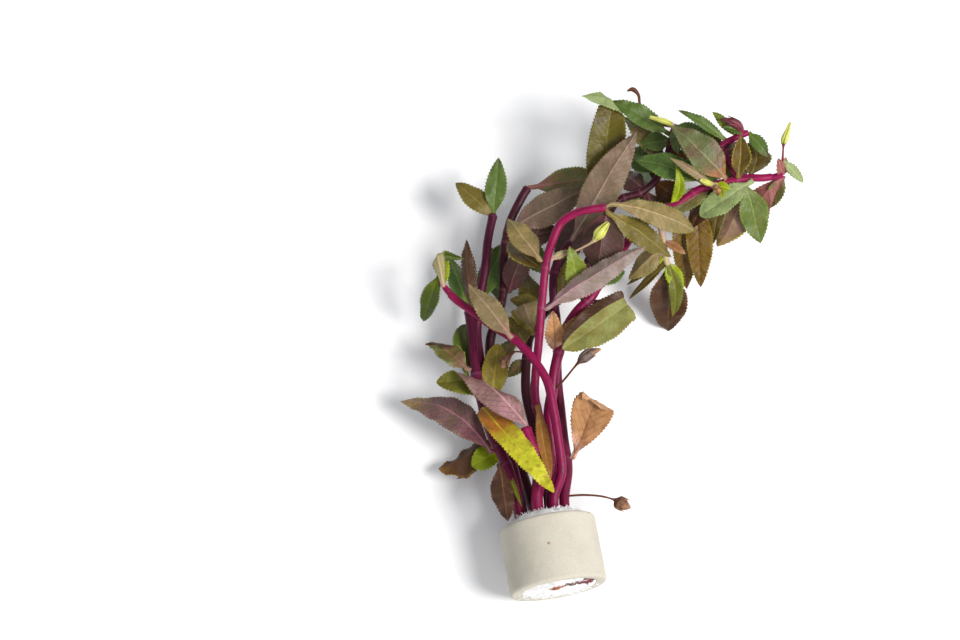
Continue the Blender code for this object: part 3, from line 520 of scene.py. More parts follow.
class MeshWork:
    """Grids of points that are joined in one mesh, each with its finish and texture coordinates."""

    def __init__(self) -> None:
        """Start with no grid."""
        self.points: list[np.ndarray] = []
        self.faces: list[np.ndarray] = []
        self.share: list[np.ndarray] = []
        self.real: list[np.ndarray] = []
        self.slots: list[int] = []
        self.finishes: list[Enum] = []
        self.count = 0

    def add(self, points: np.ndarray, share: np.ndarray, real: np.ndarray, finish: Enum | list[Enum]) -> None:
        """Add a grid of quads whose last column meets the first.

        Args:
            points: Rows by columns by 3, in layout millimetres.
            share: Texture coordinates in shares, with one more column than points.
            real: Texture coordinates in millimetres, of the same shape, or share again if none are used.
            finish: One finish, or a list with one for each column of faces.
        """
        rows, columns = points.shape[:2]
        r, c = np.meshgrid(np.arange(rows - 1), np.arange(columns), indexing="ij")
        ahead = (c + 1) % columns
        corners = [r * columns + c, r * columns + ahead, (r + 1) * columns + ahead, (r + 1) * columns + c]
        self.faces.append(np.stack(corners, -1).reshape(-1, 4) + self.count)
        for layer, store in ((share, self.share), (real, self.real)):
            corners = [layer[r, c], layer[r, c + 1], layer[r + 1, c + 1], layer[r + 1, c]]
            store.append(np.stack(corners, -2).reshape(-1, 2))
        each = finish if isinstance(finish, list) else [finish] * columns
        self.finishes += [one for one in dict.fromkeys(each) if one not in self.finishes]
        self.slots += [self.finishes.index(one) for one in each] * (rows - 1)
        self.points.append(points.reshape(-1, 3))
        self.count += rows * columns

    def build(self, name: str, node: str) -> None:
        """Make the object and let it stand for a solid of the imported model.

        Args:
            name: The object's name.
            node: Name of the solid.
        """
        mesh = bpy.data.meshes.new(name)
        points = (np.concatenate(self.points) + SHIFT) * MM
        points[:, 2] = np.maximum(points[:, 2], 0.0)
        mesh.from_pydata(points.tolist(), [], np.concatenate(self.faces).tolist())
        for layer, values in (("share", self.share), ("real", self.real)):
            flat = np.concatenate(values).astype(np.float32).ravel()
            mesh.uv_layers.new(name=layer).uv.foreach_set("vector", flat)
        for finish in self.finishes:
            mesh.materials.append(finish.value.material())
        mesh.polygons.foreach_set("material_index", self.slots)
        work = bmesh.new()
        work.from_mesh(mesh)
        bmesh.ops.remove_doubles(work, verts=work.verts, dist=1e-6)
        work.to_mesh(mesh)
        work.free()
        mesh.shade_smooth()
        piece = bpy.data.objects.new(name, mesh)
        bpy.context.scene.collection.objects.link(piece)
        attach(piece, "root")
        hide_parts(node)
        LOG.info("%s: %d faces", name, len(mesh.polygons))


def spline(points: np.ndarray, step: float) -> np.ndarray:
    """Run a smooth curve through points of any number of values.

    Args:
        points: The known points, one a row.
        step: Distance between the curve's points.

    Returns:
        The curve's points.
    """
    ends = np.vstack([2 * points[0] - points[1], points, 2 * points[-1] - points[-2]])
    out = [points[:1]]
    for a, b, c, d in zip(ends, ends[1:], ends[2:], ends[3:]):
        pieces = max(1, round(float(np.linalg.norm((c - b)[:3])) / step))
        t = (np.arange(1, pieces + 1) / pieces)[:, None]
        out.append(0.5 * (2 * b + (c - a) * t + (2 * a - 5 * b + 4 * c - d) * t ** 2
                          + (3 * b - a - 3 * c + d) * t ** 3))
    return np.vstack(out)


def unit(vector: np.ndarray) -> np.ndarray:
    """Return the vector at length one."""
    return vector / np.linalg.norm(vector)


def paired(first: np.ndarray, second: np.ndarray) -> np.ndarray:
    """Return two arrays, spread to one shape, side by side on a new last axis."""
    return np.stack(np.broadcast_arrays(first, second), -1)


def ramp(value: np.ndarray) -> np.ndarray:
    """Return the value, held between 0 and 1."""
    return np.clip(value, 0.0, 1.0)


def turns_of(sides: int) -> np.ndarray:
    """Return the angles of a ring's points."""
    return np.arange(sides) * math.tau / sides


def capped(grid: np.ndarray, first: np.ndarray, last: np.ndarray) -> np.ndarray:
    """Return a grid of rings that is closed by one point at each end."""
    shape = (1, *grid.shape[1:])
    return np.concatenate([np.broadcast_to(first, shape), grid, np.broadcast_to(last, shape)])


def tube_frame(points: np.ndarray) -> tuple[np.ndarray, np.ndarray]:
    """Find two directions square to a route at each of its points, turned as little as possible.

    Args:
        points: The route's points.

    Returns:
        The two directions, one row a point.
    """
    last = len(points) - 1
    across, rows = None, []
    for i in range(last + 1):
        along = unit(points[min(i + 1, last)] - points[max(i - 1, 0)])
        if across is None:
            across = np.cross(along, (0.0, 0.0, 1.0))
        across = unit(across - along * across.dot(along))
        rows.append((across, np.cross(along, across)))
    pair = np.array(rows)
    return pair[:, 0], pair[:, 1]


def run_length(points: np.ndarray) -> np.ndarray:
    """Return the distance along a route at each of its points."""
    return np.concatenate([[0.0], np.cumsum(np.linalg.norm(np.diff(points, axis=0), axis=1))])


def add_tube(work: MeshWork, points: np.ndarray, radii: np.ndarray, finish: Enum, waves: np.ndarray,
             off_node: np.ndarray | None = None) -> None:
    """Add a round tube with closed ends.

    Args:
        work: Mesh that gets it.
        points: The route's points.
        radii: Radius at each point.
        finish: Its finish.
        waves: Factor of the radius, points by sides of the tube.
        off_node: Distance from the nearest node at each point.
    """
    sides = waves.shape[1]
    across, other = tube_frame(points)
    turns = turns_of(sides)
    ring = across[:, None] * np.cos(turns)[None, :, None] + other[:, None] * np.sin(turns)[None, :, None]
    grid = capped(points[:, None] + ring * (radii[:, None] * waves)[..., None], points[0], points[-1])
    run = run_length(points)
    along = np.concatenate([[0.0], run, run[-1:]])
    far = np.full(len(points), NO_NODE) if off_node is None else off_node
    far = np.concatenate([far[:1], far, far[-1:]])
    angle = np.arange(sides + 1) / sides
    share = paired(angle[None, :], (along / run[-1])[:, None])
    real = paired(far[:, None], along[:, None] + 0.0 * angle[None, :])
    work.add(grid, share, real, finish)


def bend(points: np.ndarray, start: float, slant: float, angle: float, radius: float) -> np.ndarray:
    """Bend leaf points past a line across the leaf.

    Args:
        points: Points in the leaf's own frame, one a row.
        start: Where the bend begins along the leaf.
        slant: Turn of the line from square, in radians.
        angle: Angle of the bend, towards the upper side where it is positive.
        radius: Radius of the bend.

    Returns:
        The bent points.
    """
    cosine, sine = math.cos(slant), math.sin(slant)
    offset = points - (0.0, start, 0.0)
    x = cosine * offset[:, 0] + sine * offset[:, 1]
    y = cosine * offset[:, 1] - sine * offset[:, 0]
    z = offset[:, 2]
    side = math.copysign(1.0, angle)
    zone = radius * abs(angle)
    phi = np.clip(y, 0.0, zone) / radius
    past = np.maximum(0.0, y - zone)
    reach = radius - side * z
    bent_y = np.where(y > 0, reach * np.sin(phi) + past * np.cos(phi), y)
    bent_z = np.where(y > 0, side * (radius - reach * np.cos(phi) + past * np.sin(phi)), z)
    return np.stack([cosine * x - sine * bent_y, start + sine * x + cosine * bent_y, bent_z], -1)


class Outline(Enum):
    """Outlines of leaves: place of the widest point, and how fast the edge rises to it and falls from it."""

    LANCE = (0.45, 1.0, 0.85)
    OVATE = (0.38, 0.75, 0.9)
    ROUND = (0.5, 0.6, 0.6)
    FAN = (0.76, 1.2, 0.45)
    FAR = (0.62, 1.0, 0.6)
    BLUNT = (0.35, 0.16, 0.6)


@dataclass(frozen=True)
class Fold:
    """A crease across a leaf, which swings the far part round by turn degrees, seen from above."""

    at: float
    turn: float
    angle: float
    bend: float = 1.3


@dataclass(frozen=True)
class Blade:
    """One leaf from base to tip. Roll 180 has its underside up, and arch lifts its middle.

    A strip is a number of columns at one margin of the upper side, with the finish that they have.
    """

    base: tuple
    tip: tuple
    width: float
    upper: Look
    under: Look = Look.MAUVE_DARK
    roll: float = 0.0
    arch: float = 15.0
    cup: float = 8.0
    twist: float = 10.0
    sweep: float = 0.0
    outline: Outline = Outline.LANCE
    folds: tuple = ()
    ruffle: float = 0.42
    crumple: float = 1.1
    strip: tuple = ()
    teeth: float = 0.5
    tooth_pitch: float = 1.25
    thickness: float = 0.3
    vein_spacing: float = 2.7
    vein_slant: float = 1.2
    vein_depth: float = 0.14
    rib_half: float = 0.5
    rib_line: float = 0.02
    rib_sunk: float = 0.2
    rib_depth: float = 0.34
    petiole_half: float = 1.1
    foot_depth: float = 0.45

    @property
    def facing(self) -> float:
        """Return 1 where the upper side is up, and -1 where it is down."""
        return 1.0 if math.cos(math.radians(self.roll)) >= 0 else -1.0

    @property
    def bow(self) -> float:
        """Return the angle of the arch from base to tip, in radians."""
        return math.radians(max(self.arch, 1.0))

    def axes(self, base: np.ndarray) -> np.ndarray:
        """Return the right, along and up directions of a leaf that starts at base, one a row."""
        along = unit(np.array(self.tip, float) - base)
        up = unit(np.array([0.0, 0.0, 1.0]) - along * along[2])
        up = np.array(Matrix.Rotation(math.radians(self.roll), 3, Vector(along)) @ Vector(up))
        return np.array([np.cross(along, up), along, up])

    def half_width(self, t: np.ndarray) -> np.ndarray:
        """Return half the width at each share of the length."""
        peak, rise, fall = self.outline.value
        rising = np.sin(math.pi / 2 * ramp(t / peak)) ** rise
        falling = np.sin(math.pi / 2 * ramp((1 - t) / (1 - peak))) ** fall
        half = self.width / 2 * np.where(t < peak, rising, falling)
        return np.minimum(np.maximum(self.petiole_half * (1 - t), half), self.width / 2)

    def columns(self) -> np.ndarray:
        """Return the places of the mesh's columns across one face, fewer on a narrow leaf."""
        wide = self.width > 6.5
        half = [0.07, 0.17, 0.33, 0.5, 0.67, 0.82, 0.93, 1.0] if wide else [0.12, 0.3, 0.55, 0.8, 1.0]
        return np.array([-v for v in reversed(half)] + [0.0] + half)

    def placed(self, base: np.ndarray, length: float, x: np.ndarray, y: np.ndarray,
               z: np.ndarray) -> np.ndarray:
        """Fold, arch and place points of the flat leaf.

        Args:
            base: Where the leaf starts.
            length: Its length along the arch.
            x: Places across.
            y: Places along.
            z: Heights above the blade's middle.

        Returns:
            The layout points, in the grid of x.
        """
        points = np.stack([x.ravel(), np.broadcast_to(y, x.shape).ravel(), z.ravel()], -1)
        for fold in sorted(self.folds, key=lambda f: -f.at):
            turn = math.radians(fold.turn) * self.facing
            slant = turn / 2 - math.copysign(math.pi / 2, turn)
            angle = math.radians(fold.angle)
            points = bend(points, fold.at * length - fold.bend * abs(angle) / 2, slant, angle, fold.bend)
        points = bend(points, 0.0, 0.0, -self.facing * self.bow, length / self.bow)
        upright = np.array(Matrix.Rotation(self.facing * self.bow / 2, 3, "X"))
        return (base + (points @ upright.T) @ self.axes(base)).reshape(*x.shape, 3)

    def creases(self, x: np.ndarray, s: np.ndarray) -> np.ndarray:
        """Return how far wilting lifts each point: soft dents 7 mm across and sharper creases 3 mm apart."""
        seed = 1.7 * self.base[0] + 0.9 * self.base[1]
        lift = [noise.noise(Vector((0.14 * a, 0.14 * b, seed)))
                + 0.45 * (0.2 - abs(noise.noise(Vector((0.3 * a + seed, 0.3 * b, 3.0)))))
                for a, b in paired(x, s).reshape(-1, 2).tolist()]
        return np.array(lift).reshape(np.broadcast_shapes(x.shape, s.shape))

    def add_to(self, work: MeshWork, base: np.ndarray | None = None, root: np.ndarray | None = None) -> None:
        """Add the leaf to a mesh.

        Args:
            work: Mesh that gets it.
            base: Where it starts, if that isn't its own base.
            root: Point in the stem that its foot runs into.
        """
        base = np.array(self.base if base is None else base, float)
        luck = np.random.default_rng(int(abs(np.dot(self.base, (91.0, 57.0, 13.0))) + 7 * self.width))
        length = float(np.linalg.norm(np.array(self.tip) - base)) * (self.bow / 2) / math.sin(self.bow / 2)
        steps = 4 * max(6, round(length / self.tooth_pitch))
        step = np.arange(steps + 1)[:, None]
        t = step / steps
        s = t * length
        u = self.columns()[None, :]
        out, side = np.abs(u), np.sign(u)
        half = self.half_width(t)
        across = u * half
        narrow = min(1.0, self.width / 8)
        # Saw teeth of four steps each, which grow from past the foot and end before the tip
        phase = np.where(side > 0, luck.uniform(0, math.tau), luck.uniform(0, math.tau))
        tooth = (step + np.where(side > 0, 0, 2)) % 4 / 3.0
        bite = self.teeth * tooth * ramp((t - 0.1) / 0.15) * ramp((1 - t) / 0.06) * ramp(half / 2.5)
        x = across + side * (bite - 0.5 * self.teeth * ramp(half / 2.5)) * out ** 6
        sway = 0.05 * self.width * np.sin(s / length * 7 + luck.uniform(0, 6))
        x = x + sway * ramp(3 * t * (1 - t)) * 0.4
        # The blade's middle has a cup, waves along its margins, creases and sunken side veins
        cup = np.radians(self.cup) * np.minimum(1.0, 3 * t)
        middle = (np.sqrt(across ** 2 + 0.36) - 0.6) * np.tan(cup)
        wave = np.sin(math.tau * s / luck.uniform(6.5, 9.5) + phase) * np.sqrt(ramp(4 * t * (1 - t)))
        middle = middle + self.ruffle * out ** 2.5 * wave * narrow
        middle = middle + self.crumple * self.creases(across, s) * ramp(4 * t) * narrow
        lean = (s - self.vein_slant * np.abs(across)) / self.vein_spacing
        vein = np.abs((lean + luck.uniform(0, 1)) % 1.0 - 0.5) * 2
        sunk = ramp(1 - (1 - vein) * 4) * ramp(out * 4) * (1 - out ** 4)
        middle = middle - self.vein_depth * sunk * ramp(half / 3)
        # The two faces meet in a sharp margin, and the rib is sunk above and stands out below
        thick = self.thickness * (1 - 0.75 * out ** 2) * np.minimum(1.0, 0.3 + half / 1.5)
        thick = thick * np.where(out == 1.0, 0.0, 1.0)
        rib = np.exp(-(across / self.rib_half) ** 2) * ramp(half / 0.8)
        above = middle + thick / 2 + (self.rib_line - self.rib_sunk * ramp(t * 4)) * rib
        below = middle - thick / 2 - self.rib_depth * (1 - 0.7 * t) * rib
        ring_x = np.concatenate([x, x[:, -2:0:-1]], 1)
        ring_z = np.concatenate([above, below[:, -2:0:-1]], 1)
        roll = np.radians(self.twist) * t
        turned_x = ring_x * np.cos(roll) + ring_z * np.sin(roll) + self.sweep * self.facing * 4 * t * (1 - t)
        turned_z = ring_z * np.cos(roll) - ring_x * np.sin(roll)
        grid = self.placed(base, length, turned_x, s, turned_z)
        ring_u, ring_mm = (np.concatenate([v, v[:, -2:0:-1], v[:, :1]], 1) for v in (u, across))
        share, real = paired(ring_u / 2 + 0.5, t), paired(ring_mm, s)
        if root is not None:
            grid, share, real = self.with_foot(grid, share, real, base, root)
        face = u.shape[1] - 1
        looks = [self.upper] * face + [self.under] * face
        if self.strip:
            wide, look = self.strip
            looks[face - wide:face] = [look] * wide
        work.add(grid, share, real, looks)

    def with_foot(self, grid: np.ndarray, share: np.ndarray, real: np.ndarray, base: np.ndarray,
                  root: np.ndarray) -> tuple[np.ndarray, np.ndarray, np.ndarray]:
        """Lead the leaf's foot into its stem.

        Args:
            grid: The leaf's points.
            share: Its texture coordinates in shares.
            real: Its texture coordinates in millimetres.
            base: Where the blade starts.
            root: Point in the stem.

        Returns:
            The three grids with the foot's rows before them.
        """
        along = unit(grid[2].mean(0) - grid[0].mean(0))
        reach = float(np.linalg.norm(root - base))
        bow = base - along * reach * 0.45
        back = np.array((1.0, 0.8, 0.6, 0.4, 0.2))[:, None, None]
        centre = base * (1 - back) ** 2 + 2 * back * (1 - back) * bow + back * back * root
        foot = centre + (grid[0] - base) * (1 - 0.2 * back)
        before = real[:1] * (1, 0) + np.concatenate([0 * back, -reach * back], -1)
        return (np.concatenate([foot, grid]), np.concatenate([np.repeat(share[:1], len(back), 0), share]),
                np.concatenate([before, real]))

    def foot_on(self, course: tuple[np.ndarray, np.ndarray]) -> tuple[np.ndarray, np.ndarray]:
        """Find where the leaf starts on its stem's surface.

        Args:
            course: The coarse points and radii of its stem.

        Returns:
            The start of its blade, and the point in the stem below it.
        """
        points, radii = course
        hint = np.array(self.base, float)
        nearest = int(np.argmin(np.linalg.norm(points - hint, axis=1)))
        last = len(points) - 1
        along = unit(points[min(nearest + 1, last)] - points[max(nearest - 1, 0)])
        centre = points[nearest] + along * float((hint - points[nearest]).dot(along))
        if nearest == last and float((centre - points[-1]).dot(along)) > 0:
            centre = points[-1]
        out = hint - centre
        out = unit(np.array(self.tip, float) - centre if np.linalg.norm(out) < 0.5 else out)
        axes = self.axes(hint)
        reach = self.petiole_half * abs(axes[0].dot(out)) + self.foot_depth * abs(axes[2].dot(out))
        return centre + out * (radii[nearest] + GAP + reach), centre


@dataclass(frozen=True)
class Head:
    """Form of a bud, capsule or tuft: the height of its ribs and bumps, and its girth.

    Its sepals reach over a share of its length, flare at their tips and wrap it at a share of its radius.
    """

    ribs: float
    bumps: float = 1.0
    girth: float = 0.9
    reach: float = 0.75
    flare: tuple[float, float] = (0.2, 1.1)
    wrap: float = 1.06


class Shape(Enum):
    """What stands at the end of a stalk."""

    TWIG = None
    BUD = Head(0.10, 0.0, 0.66, 1.0, (0.1, 0.5), 0.76)
    CAPSULE = Head(0.07)
    TUFT = Head(0.2)


@dataclass(frozen=True)
class Stalk:
    """A stalk with what it carries: points along it and its diameter at each."""

    points: tuple
    diameters: tuple
    shape: Shape = Shape.TWIG
    skin: Skin = Skin.MAGENTA
    husk: Husk = Husk.BUD
    step: float = 0.4
    sides: int = 12
    neck_sides: int = 10
    head_sides: int = 20
    thinnest: float = 0.22
    head_from: float = 1.05
    sepals: int = 5
    sepal_thickness: float = 0.12
    sepal_half_angle: float = 0.62

    def add_to(self, work: MeshWork) -> None:
        """Add the stalk and what it carries to a mesh.

        Args:
            work: Mesh that gets it.
        """
        known = np.hstack([np.array(self.points, float), np.array(self.diameters)[:, None] / 2])
        fine = spline(known, self.step)
        points, radii = fine[:, :3], np.maximum(fine[:, 3], self.thinnest)
        fat = np.flatnonzero(radii > self.head_from)
        if self.shape is Shape.TWIG or not len(fat):
            add_tube(work, points, radii, self.skin, np.ones((len(points), self.sides)))
            return
        first = max(0, fat[0] - 1)
        if first > 1:
            neck = slice(first + 2)
            add_tube(work, points[neck], radii[neck], self.skin, np.ones((first + 2, self.neck_sides)))
        self.add_head(work, points[first:], radii[first:])

    def add_head(self, work: MeshWork, points: np.ndarray, radii: np.ndarray) -> None:
        """Add the bud, capsule or tuft, wrapped in pointed sepals.

        Args:
            work: Mesh that gets it.
            points: Its centreline.
            radii: Radius at each point.
        """
        head = self.shape.value
        luck = np.random.default_rng(int(abs(points[0].sum() * 31)))
        bumps = luck.uniform(-0.06, 0.06, (len(points), self.head_sides)) * head.bumps
        waves = 1 + head.ribs * np.cos(self.sepals * turns_of(self.head_sides))[None, :] + bumps
        add_tube(work, points, radii * head.girth, self.husk, waves)
        across, other = tube_frame(points)
        v = np.linspace(0, 1, max(6, int(len(points) * head.reach)))
        place = v * (len(points) - 1) * head.reach
        low = np.minimum(place.astype(int), len(points) - 2)
        part = (place - low)[:, None]
        centre = points[low] * (1 - part) + points[low + 1] * part
        radius = radii[low] * (1 - part[:, 0]) + radii[low + 1] * part[:, 0]
        columns = np.linspace(-1, 1, 5)
        width = self.sepal_half_angle * np.sin(math.pi * ramp(0.2 + 0.8 * v)) ** 0.8
        for k in range(self.sepals):
            middle = (k + luck.uniform(-0.1, 0.1)) * math.tau / self.sepals
            flare = luck.uniform(*head.flare)
            angle = middle + columns[None, :] * width[:, None]
            out = (radius[:, None] * head.wrap + self.sepal_thickness * (1 - columns ** 2)[None, :]
                   + flare * v[:, None] ** 4)
            way = (across[low][:, None] * np.cos(angle)[..., None]
                   + other[low][:, None] * np.sin(angle)[..., None])
            outer = centre[:, None] + way * out[..., None]
            inner = centre[:, None] + way * (out - self.sepal_thickness)[..., None]
            share = paired(np.linspace(0, 1, 11)[None, :], v[:, None])
            work.add(np.concatenate([outer, inner[:, ::-1]], 1), share, share, self.husk)


@dataclass(frozen=True)
class StemRun:
    """A stem from its place in the wool (across, height) through its route's points."""

    name: str
    diameter: float
    tip_diameter: float
    entry: tuple
    route: tuple
    skin: Skin = Skin.MAROON
    leaves: tuple = ()
    stalks: tuple = ()
    in_wool: float = 13.0
    out_of_wool: float = 6.0
    coarse_step: float = 8.0
    fine_step: float = 0.8
    sides: int = 18
    bark_share: float = 0.96
    node_spacing: float = 4.0
    node_half: float = 1.1
    node_swelling: float = 0.09

    def known(self) -> np.ndarray:
        """Return the points that the stem's curve runs through."""
        across, height = self.entry
        start = RING_LENGTH - self.in_wool
        places = (start, start + 8.0, RING_LENGTH + self.out_of_wool)
        return np.array([in_ring(across, w, height) for w in places] + list(self.route), float)

    def course(self) -> tuple[np.ndarray, np.ndarray]:
        """Return the points and radii of the coarse stem that leaves are set against."""
        points = spline(self.known(), self.coarse_step)
        return points, np.linspace(self.diameter, self.tip_diameter, len(points)) / 2

    def build(self, hints: list[tuple]) -> None:
        """Build the stem with what grows from it.

        Args:
            hints: Bases of its separate leaves.
        """
        points = spline(self.known(), self.fine_step)
        run = run_length(points)
        marks = sorted(run[np.argmin(np.linalg.norm(points - np.array(hint), axis=1))]
                       for hint in [*hints, *(leaf.base for leaf in self.leaves)])
        nodes = [m for i, m in enumerate(marks) if i == 0 or m - marks[i - 1] > self.node_spacing] or [0.0]
        offset = run[:, None] - np.array(nodes)[None, :]
        nearest = offset[np.arange(len(run)), np.abs(offset).argmin(1)]
        radii = np.interp(run, (0, run[-1]), (self.diameter, self.tip_diameter)) / 2 * self.bark_share
        radii = radii * (1 + self.node_swelling * np.exp(-(nearest / self.node_half) ** 2))
        # Uneven by 2% along its length, with a blunt end and four faint ridges that turn slowly
        radii = radii * (1 + 0.02 * np.sin(run / 5.0 + self.entry[0]))
        radii[-1] *= 0.7
        waves = 1 + 0.018 * np.cos(4 * turns_of(self.sides)[None, :] + run[:, None] / 40)
        work = MeshWork()
        add_tube(work, points, radii, self.skin, waves, nearest)
        for part in (*self.leaves, *self.stalks):
            part.add_to(work)
        work.build(f"dressed_{self.name}", self.name)


@dataclass(frozen=True)
class Sprig:
    """A side shoot: a short twig with its small leaves and buds. It is rooted in the stem below it."""

    name: str
    twig: Stalk
    leaves: tuple = ()
    stalks: tuple = ()
    rooting: float = 1.6

    def course(self) -> tuple[np.ndarray, np.ndarray]:
        """Return the points and radii of the coarse twig that leaves are set against."""
        return np.array(self.twig.points, float), np.array(self.twig.diameters) / 2

    def build(self) -> None:
        """Build the sprig."""
        work = MeshWork()
        first, second = (np.array(point, float) for point in self.twig.points[:2])
        rooted = tuple(first - self.rooting * unit(second - first))
        replace(self.twig, points=(rooted, *self.twig.points),
                diameters=(self.twig.diameters[0], *self.twig.diameters)).add_to(work)
        for part in (*self.leaves, *self.stalks):
            part.add_to(work)
        work.build(f"dressed_{self.name}", self.name)


@dataclass(frozen=True)
class RingPot:
    """The ring pot: a cast clay tube with rounded rims, lying on its side."""

    edge: float = 1.1
    segments: int = 144
    lane: float = 0.5
    uneven: float = 0.14
    fine_uneven: float = 0.05
    sunk: float = 0.08

    def profile(self) -> np.ndarray:
        """Return the outline of the wall as (radius, place along), one a row."""
        outer, inner = RING_OUTER - self.edge, RING_BORE + self.edge
        near, far = self.edge, RING_LENGTH - self.edge
        points = []
        for quarter, (r, w) in enumerate(((outer, near), (outer, far), (inner, far), (inner, near))):
            for turn in np.radians(np.linspace(90.0 * quarter - 90.0, 90.0 * quarter, 7)):
                points.append((r + self.edge * math.cos(turn), w + self.edge * math.sin(turn)))
        out = []
        for a, b in zip(points, [*points[1:], points[0]]):
            pieces = max(1, round(math.dist(a, b) / self.lane))
            out += [np.array(a) + (np.array(b) - a) * k / pieces for k in range(pieces)]
        return np.array(out)

    def build(self) -> None:
        """Build the ring."""
        profile = self.profile()
        grid = np.zeros((self.segments + 1, len(profile), 3))
        # Dents 6 mm across, and finer ones of 1.4 mm
        for i, turn in enumerate(turns_of(self.segments)):
            for j, (r, w) in enumerate(profile):
                spot = Vector((r * math.sin(turn), w, r * math.cos(turn)))
                dent = self.uneven * noise.noise(spot * 0.16) + self.fine_uneven * noise.noise(spot * 0.7)
                radius = (r - self.sunk + dent) * (RING_AXIS / RING_OUTER)
                grid[i, j] = round_axis(radius, turn, w + 0.6 * dent)
        grid[-1] = grid[0]
        rows, columns = grid.shape[:2]
        share = paired(np.arange(rows)[:, None] / (rows - 1), np.arange(columns + 1)[None, :] / columns)
        work = MeshWork()
        work.add(grid[::-1], share, share, Mass.CLAY)
        work.build("clay_ring_pot", "ceramic_ring")


@dataclass(frozen=True)
class WoolPlug:
    """The mineral wool in the ring: a lumpy mass with loose fibres and a few bits of debris.

    A layer of lumps is their height and their number per millimetre. A bit of debris is its place (across,
    height), half its length, its thickness, its slope and its finish.
    """

    radius: float = 13.3
    proud: float = 2.4
    segments: int = 110
    lanes: int = 22
    fibres: int = 2600
    crown: float = 0.15
    lumps: tuple = ((0.55, 0.45), (0.5, 1.3), (0.25, 3.1))
    debris: tuple = (
        (-0.2, 5.0, 3.6, 1.8, 2.2, Husk.TUFT), (5.4, 7.4, 3.2, 2.8, 0.6, Husk.CAPSULE),
        (10.2, 7.2, 2.8, 4.2, -0.4, Husk.PURPLE_TUFT), (8.2, 7.8, 2.4, 3.6, 0.6, Husk.PURPLE_TUFT))

    def outline(self) -> list[tuple[float, float]]:
        """Return the plug's rows as (radius, place along), from the foot's middle to the top's."""
        top = RING_LENGTH + self.proud
        last = self.lanes - 1
        foot = [(self.radius * k / self.lanes, 0.1 + 0.3 * (k / last) ** 8) for k in range(1, self.lanes)]
        side = [(self.radius, w) for w in (0.9, 2.0, 8.0, 16.0, 22.0, 23.6)]
        shoulder = [(self.radius * 0.995, RING_LENGTH + 0.4), (self.radius * 0.97, RING_LENGTH + 1.1),
                    (self.radius * 0.93, top - 0.7), (self.radius * 0.88, top - 0.2)]
        crown = [(self.radius * k / self.lanes, top + self.crown) for k in range(self.lanes - 4, 0, -1)]
        return foot + side + shoulder + crown

    def build(self) -> None:
        """Build the plug."""
        rows = self.outline()
        grid = np.zeros((len(rows), self.segments, 3))
        for i, (r, w) in enumerate(rows):
            free = 1.0 if w < 1.0 or w > RING_LENGTH else 0.0
            for k in range(self.segments):
                turn = math.tau * k / self.segments
                spot = Vector((r * math.sin(turn), w, r * math.cos(turn)))
                lump = sum(height * noise.noise(spot * scale) for height, scale in self.lumps)
                rise = free * lump * (1.0 if w > 10 else -1.0)
                radius = r + free * min(0.0, lump) * 0.5 * (r / self.radius)
                grid[i, k] = round_axis(radius, turn, w + rise)
        grid = capped(grid[:, ::-1], grid[0, ::-1].mean(0), grid[-1, ::-1].mean(0))
        share = paired(np.arange(self.segments + 1)[None, :] / self.segments,
                       np.arange(len(grid))[:, None] / len(grid))
        work = MeshWork()
        work.add(grid, share, share, Mass.WOOL)
        self.add_fibres(work)
        self.add_debris(work)
        work.build("mineral_wool", "wool_plug")

    def add_fibres(self, work: MeshWork) -> None:
        """Strew short curved fibres over both ends.

        Args:
            work: Mesh that gets them.
        """
        luck = np.random.default_rng(11)
        inward = np.array(in_ring(0.0, 1.0, 0.0))
        u = np.linspace(0, 1, 5)[:, None]
        for k in range(self.fibres):
            top = k % 5 < 3
            r = self.radius * math.sqrt(luck.uniform(0.25 if top else 0.0, 0.97))
            turn = luck.uniform(0, math.tau)
            # The top falls off towards its rim, and the foot is flat
            fall = 1.2 * max(0.0, r / self.radius - 0.86) * 7
            w = RING_LENGTH + self.proud - 0.1 - fall if top else 0.1
            out = 1.0 if top else -1.0
            start = np.array(round_axis(r, turn, w))
            heading = luck.uniform(0, math.tau)
            side = np.array(in_ring(math.cos(heading), out * luck.uniform(0.1, 0.5), math.sin(heading)))
            curl = luck.normal(0, 0.5, 3)
            # 1 to 2.4 mm long and 0.1 to 0.2 mm thick, as coarse as it needs to be to show
            points = start + side * luck.uniform(1.0, 2.4) * u + curl * u * u * 0.8
            # No fibre stands out more than 1 mm at the top or 0.5 mm at the foot
            highest = RING_LENGTH + self.proud + 1.0
            depth = points @ inward
            over = np.maximum(0.0, depth - highest) if top else np.minimum(0.0, depth + 0.5)
            points = points - over[:, None] * inward
            add_tube(work, points, np.full(5, luck.uniform(0.05, 0.09)), Mass.WOOL, np.ones((5, 3)))

    def add_debris(self, work: MeshWork) -> None:
        """Press bits of root and leaf into the foot's face.

        Args:
            work: Mesh that gets them.
        """
        luck = np.random.default_rng(5)
        u = np.linspace(-1, 1, 12)
        for across, height, reach, fat, slope, husk in self.debris:
            points = np.array([in_ring(across + reach * v, 0.3 * fat - 0.5 + 0.2 * math.sin(4 * v),
                                       RING_AXIS + height + slope * v) for v in u])
            radii = fat * np.sqrt(np.clip(1 - u ** 2, 0.02, 1)) * 0.5
            add_tube(work, points, radii, husk, luck.uniform(0.65, 1.2, (12, 10)))


